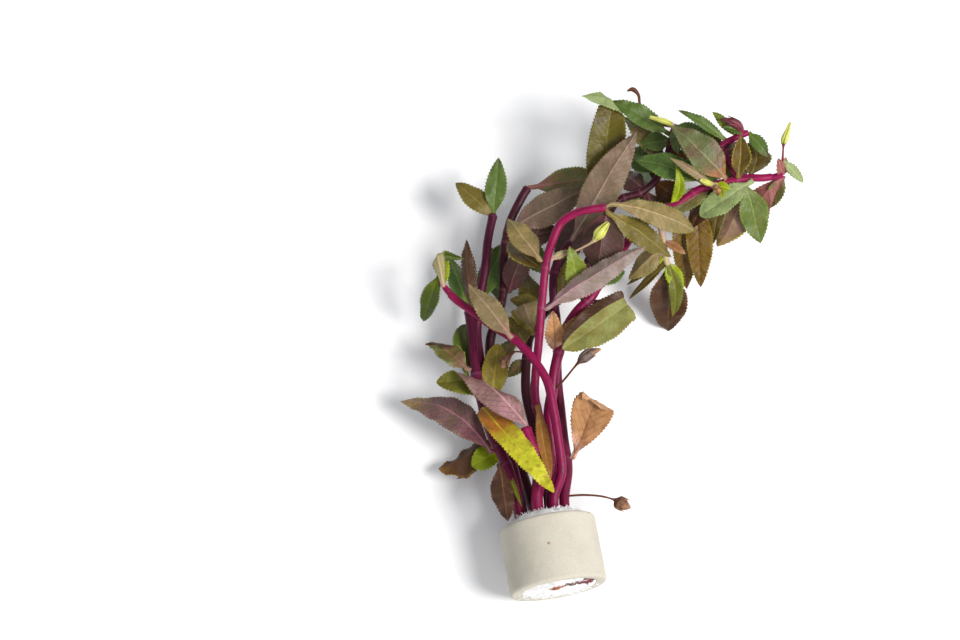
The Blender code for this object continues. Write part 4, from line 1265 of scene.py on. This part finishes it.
STEMS: tuple[StemRun, ...] = (
    StemRun("stem_left_outer", 4.4, 3.8, (-9, 20),
        ((-18, 43, 21), (-24, 57, 20), (-28, 72, 19), (-30, 84, 18), (-31, 96, 17), (-32, 104, 17)),
        Skin.WINE, leaves=(
        Blade((-32, 103, 16), (-39, 127, 10), 8, Look.DEEP_GREEN, arch=20),
        Blade((-19, 44, 21), (-13, 28, 24), 2, Look.OLIVE_FOLDED, Look.OLIVE_FOLDED, arch=20))),
    StemRun("stem_left_inner", 4.2, 3.4, (-7.5, 13.5), ((-16, 45, 14), (-21, 59, 13.5), (-26, 72, 13),
        (-28, 86, 13), (-29, 97, 13), (-28, 108, 15), (-26, 120, 18), (-25, 130, 20), (-23, 140, 21)),
        Skin.WINE, leaves=(
        Blade((-21, 59, 12.5), (-36.5, 43.5, 3), 4.2, Look.CURLED, Look.CURLED, arch=5, cup=30, twist=-30,
            sweep=-2),
        Blade((-28, 108, 14.5), (-19, 133, 9.5), 9, Look.DEEP_GREEN),
        Blade((-23.4, 139, 21), (-37, 152, 22), 8.5, Look.OLIVE, arch=30),
        Blade((-23, 139.5, 21), (-21, 160, 27), 8, Look.GREY_GREEN, Look.MAUVE, arch=25))),
    StemRun("stem_low_dark", 4, 3.4, (-3, 9.5), ((-13, 46, 9), (-18, 61, 8), (-22, 74, 8), (-24, 85, 8.5),
        (-24, 95, 10), (-21, 104, 13), (-19, 114, 15), (-19, 125, 17), (-17, 137, 18), (-13, 146, 19),
        (-10, 151, 20)), leaves=(
        Blade((-17, 134, 17), (-2, 119, 13), 10, Look.DEEP_GREEN),
        Blade((-18.5, 130, 17.5), (3, 135.5, 16.5), 9, Look.MAUVE_DARK),
        Blade((-22.5, 85, 9), (-14.5, 94.5, 13), 6, Look.OLIVE_BROWN))),
    StemRun("stem_mauve_short", 4.2, 4.4, (-2.5, 25.5), ((-7, 44, 27), (-10, 51, 28.5), (-12, 56, 29)),
        Skin.MAGENTA),
    StemRun("stem_dark_right", 4.2, 2.8, (2.5, 11), ((-4, 46, 11), (-8, 60, 12), (-11, 73, 13),
        (-11, 84, 14), (-10, 93, 15), (-7, 99, 16.5), (-2, 105, 18), (4, 111, 21), (11, 119, 24),
        (14, 126, 26), (18, 135, 27), (23, 143, 27), (31, 146, 27), (37, 151, 28), (41, 159, 30),
        (43, 166, 33)), leaves=(
        Blade((-4, 104, 18), (-17, 108, 17), 7, Look.OLIVE, arch=20),
        Blade((-10, 90, 15), (-20, 101, 19), 8, Look.OLIVE, arch=50, cup=15),
        Blade((-11, 86, 14), (-18, 80, 11), 5, Look.OLIVE_BROWN, Look.BROWN),
        Blade((38, 153, 28), (26, 166, 23), 10, Look.DEEP_GREEN),
        Blade((42.8, 165.2, 31.8), (30.5, 163.3, 31), 8, Look.DEEP_GREEN),
        Blade((33, 147, 27), (22, 158, 20), 9, Look.DEEP_GREEN, roll=180),
        Blade((-8, 99, 15.5), (-11, 121, 12), 9, Look.OLIVE),
        Blade((40.5, 157.5, 29.5), (25.5, 176, 28), 8, Look.OLIVE_BROWN),
        Blade((36, 150, 27.8), (38.5, 163.5, 22), 7.5, Look.DARK_OLIVE),
        Blade((42.5, 163, 32), (49, 152, 25), 7, Look.BRONZE),
        Blade((33, 147, 26.5), (39, 132, 26), 9, Look.OLIVE, roll=180),
        Blade((36.5, 150.5, 27.5), (47, 141, 26), 9.5, Look.DEEP_BROWN),
        Blade((25, 144, 26.5), (38, 141, 22), 9, Look.DEEP_GREEN)), stalks=(
        Stalk(((-11, 88, 15), (-15, 87, 20), (-17.5, 84.5, 22), (-19, 82, 22.5), (-20, 80, 22.5)),
            (0.7, 0.7, 2, 3.2, 1.4), Shape.CAPSULE, Skin.BROWN_THREAD, Husk.CAPSULE_BROWN),)),
    StemRun("stem_hooked", 3.5, 3, (-3.5, 19.5), ((-3, 43, 21), (-5, 55, 23), (-8, 67, 25), (-8, 76, 27.5),
        (-7, 85, 33), (-6, 97, 38), (-5, 107, 42), (-4, 114, 44), (-2, 120, 47), (1, 126, 49), (6, 129, 51),
        (11, 130, 52), (17, 131, 52)), Skin.MAGENTA,
        leaves=(Blade((-3, 114, 44), (5, 118, 42.5), 3, Look.PALE_STRAW, Look.PALE_STRAW, arch=20),),
        stalks=(
            Stalk(((-3, 114, 44), (3, 116, 43.5), (9, 118, 46), (12.4, 119.4, 48.3), (14.4, 121.6, 49.6),
                (16.2, 123.8, 50), (18, 126, 50)), (0.7, 0.7, 0.8, 1.4, 5.2, 3.8, 0.6), Shape.BUD,
                Skin.PALE_THREAD, Husk.BUD),)),
    StemRun("stem_leaning", 3.6, 3, (3.5, 25), ((1, 40, 28), (0, 50, 31), (-2, 62, 34), (-4, 71, 35.5),
        (-8, 78, 36), (-12, 83, 36), (-16, 87, 35.5), (-24, 93, 33), (-31, 99, 31), (-36, 103, 30),
        (-39, 106, 30)), Skin.MAGENTA),
    StemRun("stem_thick", 4.8, 2.8, (3, 18), ((-1, 45, 15.5), (-2, 54, 18), (-3, 63, 21), (-2, 70, 24.5),
        (-1, 78, 27), (1, 86, 29.5), (3, 92, 31), (7, 98, 33), (12, 103, 34), (15, 108, 34), (21, 117, 33),
        (27, 127, 32), (34, 134, 33), (39, 137, 34), (43, 138, 35), (49, 142, 36), (53, 144, 37),
        (60, 146, 37), (65, 147, 37), (70, 148, 37), (75, 148, 37), (79, 148.8, 36.2)), Skin.MAGENTA,
        leaves=(
            Blade((1, 85, 29), (7.5, 96, 35), 6.5, Look.PAPER, Look.PAPER, arch=30, cup=30, ruffle=1,
                crumple=2.5),
            Blade((-0.8, 84, 29), (-2, 97, 37), 7, Look.PAPER, Look.TAN_BROWN, arch=50, cup=20, ruffle=1.2,
                crumple=3),
            Blade((15, 108, 34), (25, 116, 26), 5.5, Look.DEEP_GREEN),
            Blade((41, 137.5, 34.5), (43, 150.5, 43.5), 4.2, Look.LIME, Look.LIME, arch=30, cup=15,
                sweep=2.5),
            Blade((56, 145, 36.5), (41, 134, 36), 7.5, Look.OLIVE_BROWN),
            Blade((57.5, 145.4, 36), (49, 130.5, 31), 8.5, Look.DEEP_BROWN),
            Blade((58, 145.7, 36.2), (49, 160, 31), 11, Look.DEEP_GREEN),
            Blade((66, 147, 36.2), (59, 161, 31), 10, Look.DARK_OLIVE),
            Blade((68.5, 147.3, 36.4), (65, 163, 29), 8, Look.OLIVE_BROWN),
            Blade((60, 146, 36), (57.5, 127, 24), 6.5, Look.DARK_OLIVE)), stalks=(
        Stalk(((-2, 70, 24), (2.5, 73.5, 31), (6.5, 77, 37), (9, 79, 38.5), (12, 81, 39), (15, 82, 39)),
            (0.8, 0.8, 1, 3.6, 3, 0.8), Shape.CAPSULE, Skin.BROWN_THREAD, Husk.CAPSULE),)),
    StemRun("stem_right", 4, 3.2, (7.4, 21), ((3.4, 43, 20), (2.2, 54, 19.5), (1.2, 65, 19.5),
        (0.3, 74, 20), (0, 82, 20.5), (0.5, 89, 21), (0, 98, 22), (-1, 106, 23), (-1, 114, 26),
        (1, 120, 29), (5, 125, 32)), Skin.WINE,
        leaves=(Blade((0.5, 104, 23), (5, 121, 28), 6, Look.OLIVE),), stalks=(
        Stalk(((3, 33, 20.6), (9, 33, 22), (15, 32.2, 23.5), (19.5, 31, 23.5), (21, 30.2, 23.2),
            (23.5, 29, 22.8), (25.5, 28.2, 22.4)), (0.8, 0.8, 0.8, 1, 4.4, 4, 0.8), Shape.CAPSULE,
            Skin.BROWN_THREAD, Husk.CAPSULE_BROWN),)),
)

SPRIGS: tuple[Sprig, ...] = (
    Sprig("shoot_rosette", Stalk(((-39.9, 107.2, 30.4), (-41.5, 109, 31)), (2.4, 1.8)), leaves=(
        Blade((-41, 108, 31), (-46, 131, 35), 5, Look.ROSETTE, Look.PALE_STRAW, roll=180, arch=40, cup=25,
            folds=(Fold(0.5, -115, 150),)),
        Blade((-42.4, 112.6, 32), (-49, 99.5, 16), 7, Look.ROSETTE, Look.LIME, arch=40),
        Blade((-41, 108, 31), (-41, 123, 29), 4.2, Look.LIME, Look.PALE_STRAW, arch=20)), stalks=(
        Stalk(((-41, 108, 31), (-42, 111, 32), (-42.6, 113, 32)), (1.8, 1.6, 1.4),
            skin=Skin.PALE_THREAD),)),
    Sprig("shoot_low",
        Stalk(((37.2, 133.6, 32.1), (39, 127, 28), (40, 121, 25), (41, 119, 24)), (2, 2.2, 2.4, 1.8),
            skin=Skin.PALE_THREAD), leaves=(
        Blade((40.2, 120.2, 24.4), (46, 111, 17), 6.5, Look.LIME, Look.KITE, arch=30),
        Blade((39.8, 120.6, 24.7), (26, 114, 16), 3.2, Look.DARK_OLIVE, Look.BROWN, arch=10),
        Blade((40.2, 119.7, 24.2), (27, 110, 11), 3, Look.DARK_OLIVE, Look.BROWN, arch=10),
        Blade((39, 125, 27), (26.5, 114, 22), 8.5, Look.OLIVE, Look.TAN_OLIVE, roll=180, arch=35, cup=20),
        Blade((39.8, 122, 25.6), (33, 119, 24), 4.2, Look.LIME, Look.KITE, arch=40),
        Blade((39, 127, 28), (47, 121, 30), 3.4, Look.PAPER, Look.PAPER, arch=20, cup=30),
        Blade((40.6, 119.5, 24.2), (43, 103, 11), 5.5, Look.OLIVE_FOLDED, Look.KITE, arch=35, sweep=-2))),
    Sprig("shoot_far_right", Stalk(((79.9, 148.9, 36.1), (82.6, 149.4, 36.6)), (2.4, 2.4)), leaves=(
        Blade((82.4, 148.9, 36.2), (70, 131, 14), 11.5, Look.OLIVE_BROWN, Look.FAN_PINK, roll=180, arch=30,
            sweep=2.5, outline=Outline.FAR, folds=(Fold(0.77, 92, 120),)),
        Blade((82.9, 149.2, 36.2), (78.5, 140.5, 26), 6.5, Look.OLIVE_BROWN, Look.FAN_PINK, arch=40,
            cup=20),
        Blade((82, 149.4, 36.6), (80.5, 154, 41.5), 4.6, Look.FAN_PINK, Look.FAN_PINK, arch=40, cup=30,
            outline=Outline.OVATE),
        Blade((82.3, 149.5, 36.5), (83.5, 155, 40), 4, Look.FAN_PINK, Look.FAN_PINK, arch=40, cup=30,
            outline=Outline.OVATE),
        Blade((82.3, 153.5, 40), (90, 146.5, 36), 4, Look.SAGE, Look.SAGE, arch=40)), stalks=(
        Stalk(((82.1, 149.6, 36.7), (82.2, 153.5, 40), (82.2, 157.5, 44), (82.4, 159.3, 45.8),
            (83.4, 162, 48), (84.3, 164.8, 49.5)), (0.9, 0.9, 0.9, 3.4, 2.2, 0.6), Shape.BUD, Skin.THREAD,
            Husk.BUD),)),
    Sprig("shoot_crown_top",
        Stalk(((65, 148.7, 38.2), (63, 154, 39.5), (60, 159, 40), (65, 162, 41), (70, 164, 41.5)),
            (1.8, 2.2, 2.4, 2.4, 2.2)), leaves=(
        Blade((69, 164, 41.5), (60, 165, 44), 4.4, Look.GREY_GREEN, Look.MAUVE, arch=30, cup=30),
        Blade((70, 164, 41.5), (77, 154.5, 41), 5.5, Look.GREY_GREEN, Look.MAUVE, arch=25),
        Blade((62, 161, 40.5), (44, 170.5, 47), 4.4, Look.GREY_GREEN, Look.GREEN, arch=40, sweep=0.3),
        Blade((63, 156, 39), (50, 170, 36), 5.5, Look.DARK_OLIVE),
        Blade((66, 162.5, 41), (57, 172, 42), 4.5, Look.KITE, Look.PALE_STRAW, arch=25),
        Blade((60.5, 157.5, 39.5), (69.5, 160.5, 37), 5, Look.MAUVE_DARK, Look.BROWN)), stalks=(
        Stalk(((68, 163.5, 41.5), (66, 166, 43.5), (63, 167, 45), (59.5, 167.5, 45.5)), (1.4, 3, 2.4, 0.6),
            Shape.TUFT, Skin.PINK, Husk.PURPLE_TUFT),)),
    Sprig("shoot_crown_left", Stalk(((43.3, 167.9, 34.3), (43.8, 169.2, 36)), (2.4, 2.2)), leaves=(
        Blade((43.7, 168.7, 35.2), (44, 155, 42), 5, Look.GREY_GREEN, Look.MAUVE, arch=25),
        Blade((43.8, 168.9, 35.5), (57, 160, 42), 7, Look.GREY_GREEN, Look.MAUVE, arch=30, cup=15),
        Blade((43.9, 168.5, 35.1), (49, 151, 44), 4, Look.GREY_GREEN, Look.TAN, roll=180, arch=30)),
        stalks=(
            Stalk(((43.6, 168.8, 35.3), (41, 168.5, 40), (38, 169, 41.5), (34, 170, 42)),
                (1.2, 2.4, 2.2, 0.6), Shape.BUD, Skin.PALE_THREAD, Husk.BUD),
            Stalk(((43.6, 168.8, 35), (38, 172, 31), (33.5, 176, 30), (31.5, 180, 30), (31, 183.5, 30.5),
                (29, 185.6, 31), (26.8, 185, 31)), (1, 1, 1, 1, 1.2, 1.8, 0.6), skin=Skin.BROWN_THREAD))),
    Sprig("flower_buds", Stalk(((57.5, 143.2, 39.4), (57, 143.5, 41.5)), (2, 2.6), skin=Skin.PALE_THREAD),
        leaves=(
            Blade((57, 143.3, 41), (40.5, 152, 47), 4.2, Look.MAUVE, Look.TAN, roll=180, arch=20),
            Blade((57, 143.7, 40.6), (63, 142, 41), 3.4, Look.LIME, Look.LIME, arch=40, cup=30),
            Blade((57, 143.5, 41), (60, 138, 43), 3.2, Look.LIME, Look.LIME, arch=40, cup=30)), stalks=(
        Stalk(((57, 143.5, 41), (54, 144, 43), (51.5, 144.5, 44)), (1.4, 2.8, 0.8), Shape.BUD,
            Skin.PALE_THREAD, Husk.BUD),
        Stalk(((57, 143.5, 41), (58, 141, 43), (58.5, 139, 44)), (1.4, 2.6, 0.8), Shape.TUFT,
            Skin.PALE_THREAD, Husk.BRACT))),
)

# The separate leaves, by the stem or shoot that each stands on
LEAVES: dict[str, dict[str, Blade]] = {
    "stem_left_outer": {
        "leaf_yellow": Blade((-27, 65, 23), (-2, 31, 33), 9.5, Look.YELLOWED, Look.KHAKI, arch=35, cup=12,
            twist=-10, outline=Outline.BLUNT),
        "leaf_mauve_long": Blade((-23, 50, 21), (-57, 70, 13), 12.5, Look.OLIVE, Look.MAUVE_LONG, roll=180,
            arch=28, cup=8, twist=20, sweep=5),
        "leaf_by_pot": Blade((-22.5, 43, 24.5), (-18.2, 21.3, 30), 8.5, Look.BROWN, Look.BROWN_GREY,
            roll=160, arch=12, cup=20),
        "leaf_green_side": Blade((-34.5, 78, 17), (-32.5, 102.5, 5.5), 9.5, Look.GREEN, roll=28, arch=15,
            sweep=-2.8),
        "leaf_dark_curled": Blade((-33, 80.5, 20), (-46, 94, 16), 9.5, Look.OLIVE_BROWN, Look.BROWN,
            arch=20, cup=20, folds=(Fold(0.62, 73, 150, 1.9),), ruffle=1),
        "leaf_brown_upright": Blade((-31, 104, 20), (-33, 129, 24), 6.5, Look.OLIVE, Look.BROWN, roll=150,
            arch=15, cup=20),
    },
    "stem_left_inner": {
        "leaf_green_round": Blade((-21, 51, 15), (-31, 46, 13), 9, Look.LIME, Look.KITE, arch=15,
            outline=Outline.ROUND),
        "leaf_curled_brown": Blade((-22, 54.5, 12), (-43, 46, 9), 12, Look.CURLED, Look.CURLED, roll=180,
            arch=15, cup=35, twist=40, outline=Outline.ROUND, ruffle=1.4, crumple=2),
        "leaf_khaki_broad": Blade((-21, 72, 16), (-21.5, 91, 17), 9.8, Look.KHAKI, Look.MAUVE, roll=-10,
            arch=20, cup=4, outline=Outline.ROUND),
    },
    "stem_low_dark": {
        "leaf_under_left": Blade((-21, 109, 9), (-24, 135, 0), 9, Look.DEEP_GREEN, arch=15),
        "leaf_serrated_mauve": Blade((-16, 111, 18), (-12, 124, 26), 9.5, Look.OLIVE, roll=180, arch=35,
            outline=Outline.ROUND),
        "leaf_mauve_glossy": Blade((-16, 134, 21), (12, 148, 27), 12.5, Look.GREEN, Look.MAUVE, roll=180,
            arch=25, cup=10),
        "leaf_olive_brown": Blade((-8, 151, 20), (21, 153, 24), 11.5, Look.DEEP_GREEN, Look.OLIVE_BROWN,
            roll=180, arch=20, cup=8),
    },
    "stem_mauve_short": {
        "leaf_mauve_folded": Blade((-12, 56.5, 31), (-38, 85, 38), 13.5, Look.OLIVE_FOLDED, Look.MAUVE_PINK,
            roll=180, arch=12, cup=14, outline=Outline.ROUND, folds=(Fold(0.43, 53, 165, 2.9),)),
    },
    "stem_dark_right": {
        "leaf_folded_tan": Blade((-8, 94, 20), (-16, 114, 26), 11, Look.KHAKI, Look.TAN, arch=12, cup=8,
            folds=(Fold(0.55, 180, 165),)),
        "leaf_tall_yellow": Blade((16.5, 137, 30), (24, 189, 44), 14, Look.YELLOW_OLIVE, Look.SAGE, arch=14,
            cup=12, twist=12, sweep=-2, outline=Outline.OVATE, folds=(Fold(0.73, 93, 160),)),
        "leaf_crown_green": Blade((41, 167.5, 33), (20, 178, 38), 8.5, Look.GREY_GREEN, Look.MAUVE, arch=30,
            cup=10),
        "leaf_under_crown_left": Blade((31, 147, 23), (36, 167, 0), 9, Look.DEEP_GREEN, arch=20),
        "leaf_under_middle": Blade((13, 119, 21), (22, 134, 0), 9, Look.OLIVE, arch=20),
    },
    "stem_hooked": {
        "leaf_tan_narrow": Blade((-7, 64, 29), (-3, 36, 28), 5.2, Look.TAN_BROWN, Look.BROWN, arch=20,
            cup=20, twist=-20),
        "leaf_olive_tan": Blade((-6, 114, 44), (-18, 132, 38), 9.5, Look.OLIVE, Look.TAN_OLIVE, roll=180,
            arch=30, cup=12),
        "leaf_olive_rim": Blade((-6, 112, 40), (-17, 127, 30), 9, Look.LIME_RIM, arch=30, cup=20,
            sweep=-1.5),
        "leaf_big_under": Blade((18, 129, 47), (14, 110, 39), 16, Look.OLIVE, roll=186, arch=12, cup=6),
        "leaf_pink_folded": Blade((-4, 97, 40), (31, 117, 49), 9.5, Look.OLIVE, Look.PALE_PINK, roll=165,
            arch=22, cup=24, twist=16),
        "leaf_end_upper": Blade((19.5, 132, 52.3), (48.5, 124.5, 45), 9.5, Look.OLIVE, Look.TAN_OLIVE,
            roll=180, arch=30, cup=10, sweep=-1.2, outline=Outline.FAR),
        "leaf_end_lower": Blade((18.5, 128, 51), (41, 117, 38), 9, Look.OLIVE, Look.OLIVE, roll=180,
            arch=28, cup=10),
    },
    "stem_leaning": {
        "leaf_tan_upper": Blade((-17, 87, 38), (-32, 107, 37), 9.5, Look.OLIVE, Look.TAN, roll=180, arch=14,
            cup=8),
    },
    "stem_thick": {
        "leaf_green_kite": Blade((9, 103, 34), (4, 118, 47), 8.8, Look.KITE, Look.MAUVE, arch=25, cup=10,
            outline=Outline.OVATE),
        "leaf_green_folded": Blade((13, 102, 29), (57.5, 98, 30), 15, Look.SAGE_SPOILED, Look.OLIVE_BROWN,
            roll=180, arch=8, cup=8, outline=Outline.FAR, folds=(Fold(0.29, -136, -167, 1.7),),
            strip=(4, Look.BROWN_GREY)),
        "leaf_spread_green": Blade((52, 147, 40), (29, 155.5, 35), 10.5, Look.DEEP_GREEN, Look.MAUVE,
            arch=30, cup=10, sweep=1),
        "leaf_mottled": Blade((61, 148, 41), (41.5, 165.5, 45), 13, Look.MOTTLED, Look.MAUVE, arch=35,
            cup=15, outline=Outline.OVATE),
        "leaf_cupped": Blade((66, 148, 41), (67, 161, 46), 7, Look.LIME_RIM, Look.OLIVE, arch=30, cup=40),
        "leaf_dark_olive": Blade((71, 150, 36), (71.2, 162.3, 35), 11, Look.DARK_OLIVE, Look.MAUVE, arch=20,
            cup=6, sweep=2, outline=Outline.ROUND),
        "leaf_sage": Blade((71, 144.5, 39.8), (51.8, 133.2, 37), 10, Look.SAGE, Look.MAUVE, arch=20, cup=8,
            outline=Outline.FAR),
        "leaf_green_right": Blade((69, 143, 35.5), (75, 127, 25), 11, Look.GREEN, Look.MAUVE, arch=20,
            cup=10),
        "leaf_mauve_edge": Blade((67.5, 145.5, 32), (59.5, 127.7, 20), 13, Look.OLIVE, Look.MAUVE_YELLOW,
            roll=180, arch=25, sweep=-2.5),
        "leaf_veined_long": Blade((52, 141, 31), (53.5, 113.5, 15), 10, Look.BRONZE, arch=25, cup=8),
        "leaf_veined_short": Blade((45, 138, 30), (49, 115, 8), 8.5, Look.BRONZE, arch=30, cup=12),
        "leaf_under_crown_right": Blade((55, 145, 33), (62, 169, 0), 9, Look.DEEP_GREEN, arch=20),
    },
    "stem_right": {
        "leaf_dry_fan": Blade((4.5, 47, 21), (15.3, 69.5, 27.5), 15, Look.PAPER, Look.PAPER, arch=20,
            cup=14, twist=12, outline=Outline.FAN, folds=(Fold(0.88, 150, 110),), ruffle=1.1, crumple=2.6),
        "leaf_dark_mauve": Blade((0.5, 117, 22), (11, 140, 28), 10, Look.OLIVE, roll=180, arch=12),
        "leaf_big_mauve": Blade((6, 126, 34), (29, 163, 44), 13.8, Look.OLIVE, Look.MAUVE, roll=180,
            arch=20, cup=6),
    },
    "shoot_low": {
        "leaf_low_big": Blade((40.5, 118, 19), (42.3, 101, 0), 14, Look.DEEP_BROWN, arch=20, cup=12),
    },
}


@dataclass(frozen=True)
class Studio:
    """The pale floor, the soft light and the camera that looks down on the bunch.

    A lamp is its place in metres, its diameter in metres and its power in watts.
    """

    elevation: float = 72.0
    distance: float = 900.0
    target: tuple = (-27.90, 105.58, 0.0)
    lens: float = 90.33
    floor_half: float = 3.0
    fill: float = 0.57
    fill_colour: str = "#F4F6FA"
    lamp_colour: str = "#FFFDFA"
    key: tuple = ((0.78, -0.36, 1.1), 0.6, 22.5)
    front: tuple = ((0.1, -1.1, 0.5), 0.8, 2.6)

    def build(self) -> None:
        """Make the floor, the lights and the camera."""
        self.make_floor()
        self.make_fill()
        self.make_lamp("key", *self.key)
        self.make_lamp("front", *self.front)
        self.make_camera()

    def make_floor(self) -> None:
        """Make the white paper floor."""
        mesh = bpy.data.meshes.new("paper_floor")
        r = self.floor_half
        mesh.from_pydata([(-r, -r, 0), (r, -r, 0), (r, r, 0), (-r, r, 0)], [], [(0, 1, 2, 3)])
        mesh.materials.append(PaperFinish().material())
        floor = bpy.data.objects.new("paper_floor", mesh)
        bpy.context.scene.collection.objects.link(floor)

    def make_fill(self) -> None:
        """Make the soft light from all round."""
        world = bpy.data.worlds.new("studio")
        world.use_nodes = True
        shine = {"Color": linear(self.fill_colour), "Strength": self.fill}
        plug_in(world.node_tree.nodes["Background"], shine)
        bpy.context.scene.world = world
        bpy.context.scene.view_settings.view_transform = "Standard"

    def make_lamp(self, name: str, spot: tuple, size: float, power: float) -> None:
        """Make a round lamp that shines at the origin.

        Args:
            name: Its name.
            spot: Where it hangs, in metres.
            size: Its diameter in metres.
            power: Its power in watts.
        """
        light = bpy.data.lights.new(name, "AREA")
        light.shape = "DISK"
        light.size = size
        light.energy = power
        light.color = linear(self.lamp_colour)[:3]
        lamp = bpy.data.objects.new(name, light)
        lamp.location = spot
        lamp.rotation_euler = (-Vector(spot)).to_track_quat("-Z", "Y").to_euler()
        bpy.context.scene.collection.objects.link(lamp)

    def make_camera(self) -> None:
        """Make the camera at the photograph's place."""
        tilt = math.radians(90.0 - self.elevation)
        back = np.array([0.0, -math.sin(tilt), math.cos(tilt)]) * self.distance
        data = bpy.data.cameras.new("camera")
        data.lens = self.lens
        data.sensor_width = 36.0
        data.clip_end = 20.0
        camera = bpy.data.objects.new("camera", data)
        camera.location = (np.array(self.target) + SHIFT + back) * MM
        camera.rotation_euler = (tilt, 0.0, 0.0)
        bpy.context.scene.collection.objects.link(camera)
        bpy.context.scene.camera = camera


def main() -> None:
    """Build the studio and every piece of the bunch."""
    logging.basicConfig(level=logging.INFO, format="%(message)s")
    Studio().build()
    RingPot().build()
    WoolPlug().build()
    for stem in STEMS:
        stem.build([leaf.base for leaf in LEAVES.get(stem.name, {}).values()])
    for sprig in SPRIGS:
        sprig.build()
    for holder in (*STEMS, *SPRIGS):
        for name, leaf in LEAVES.get(holder.name, {}).items():
            work = MeshWork()
            leaf.add_to(work, *leaf.foot_on(holder.course()))
            work.build(f"dressed_{name}", name)


if __name__ == "__main__":
    main()
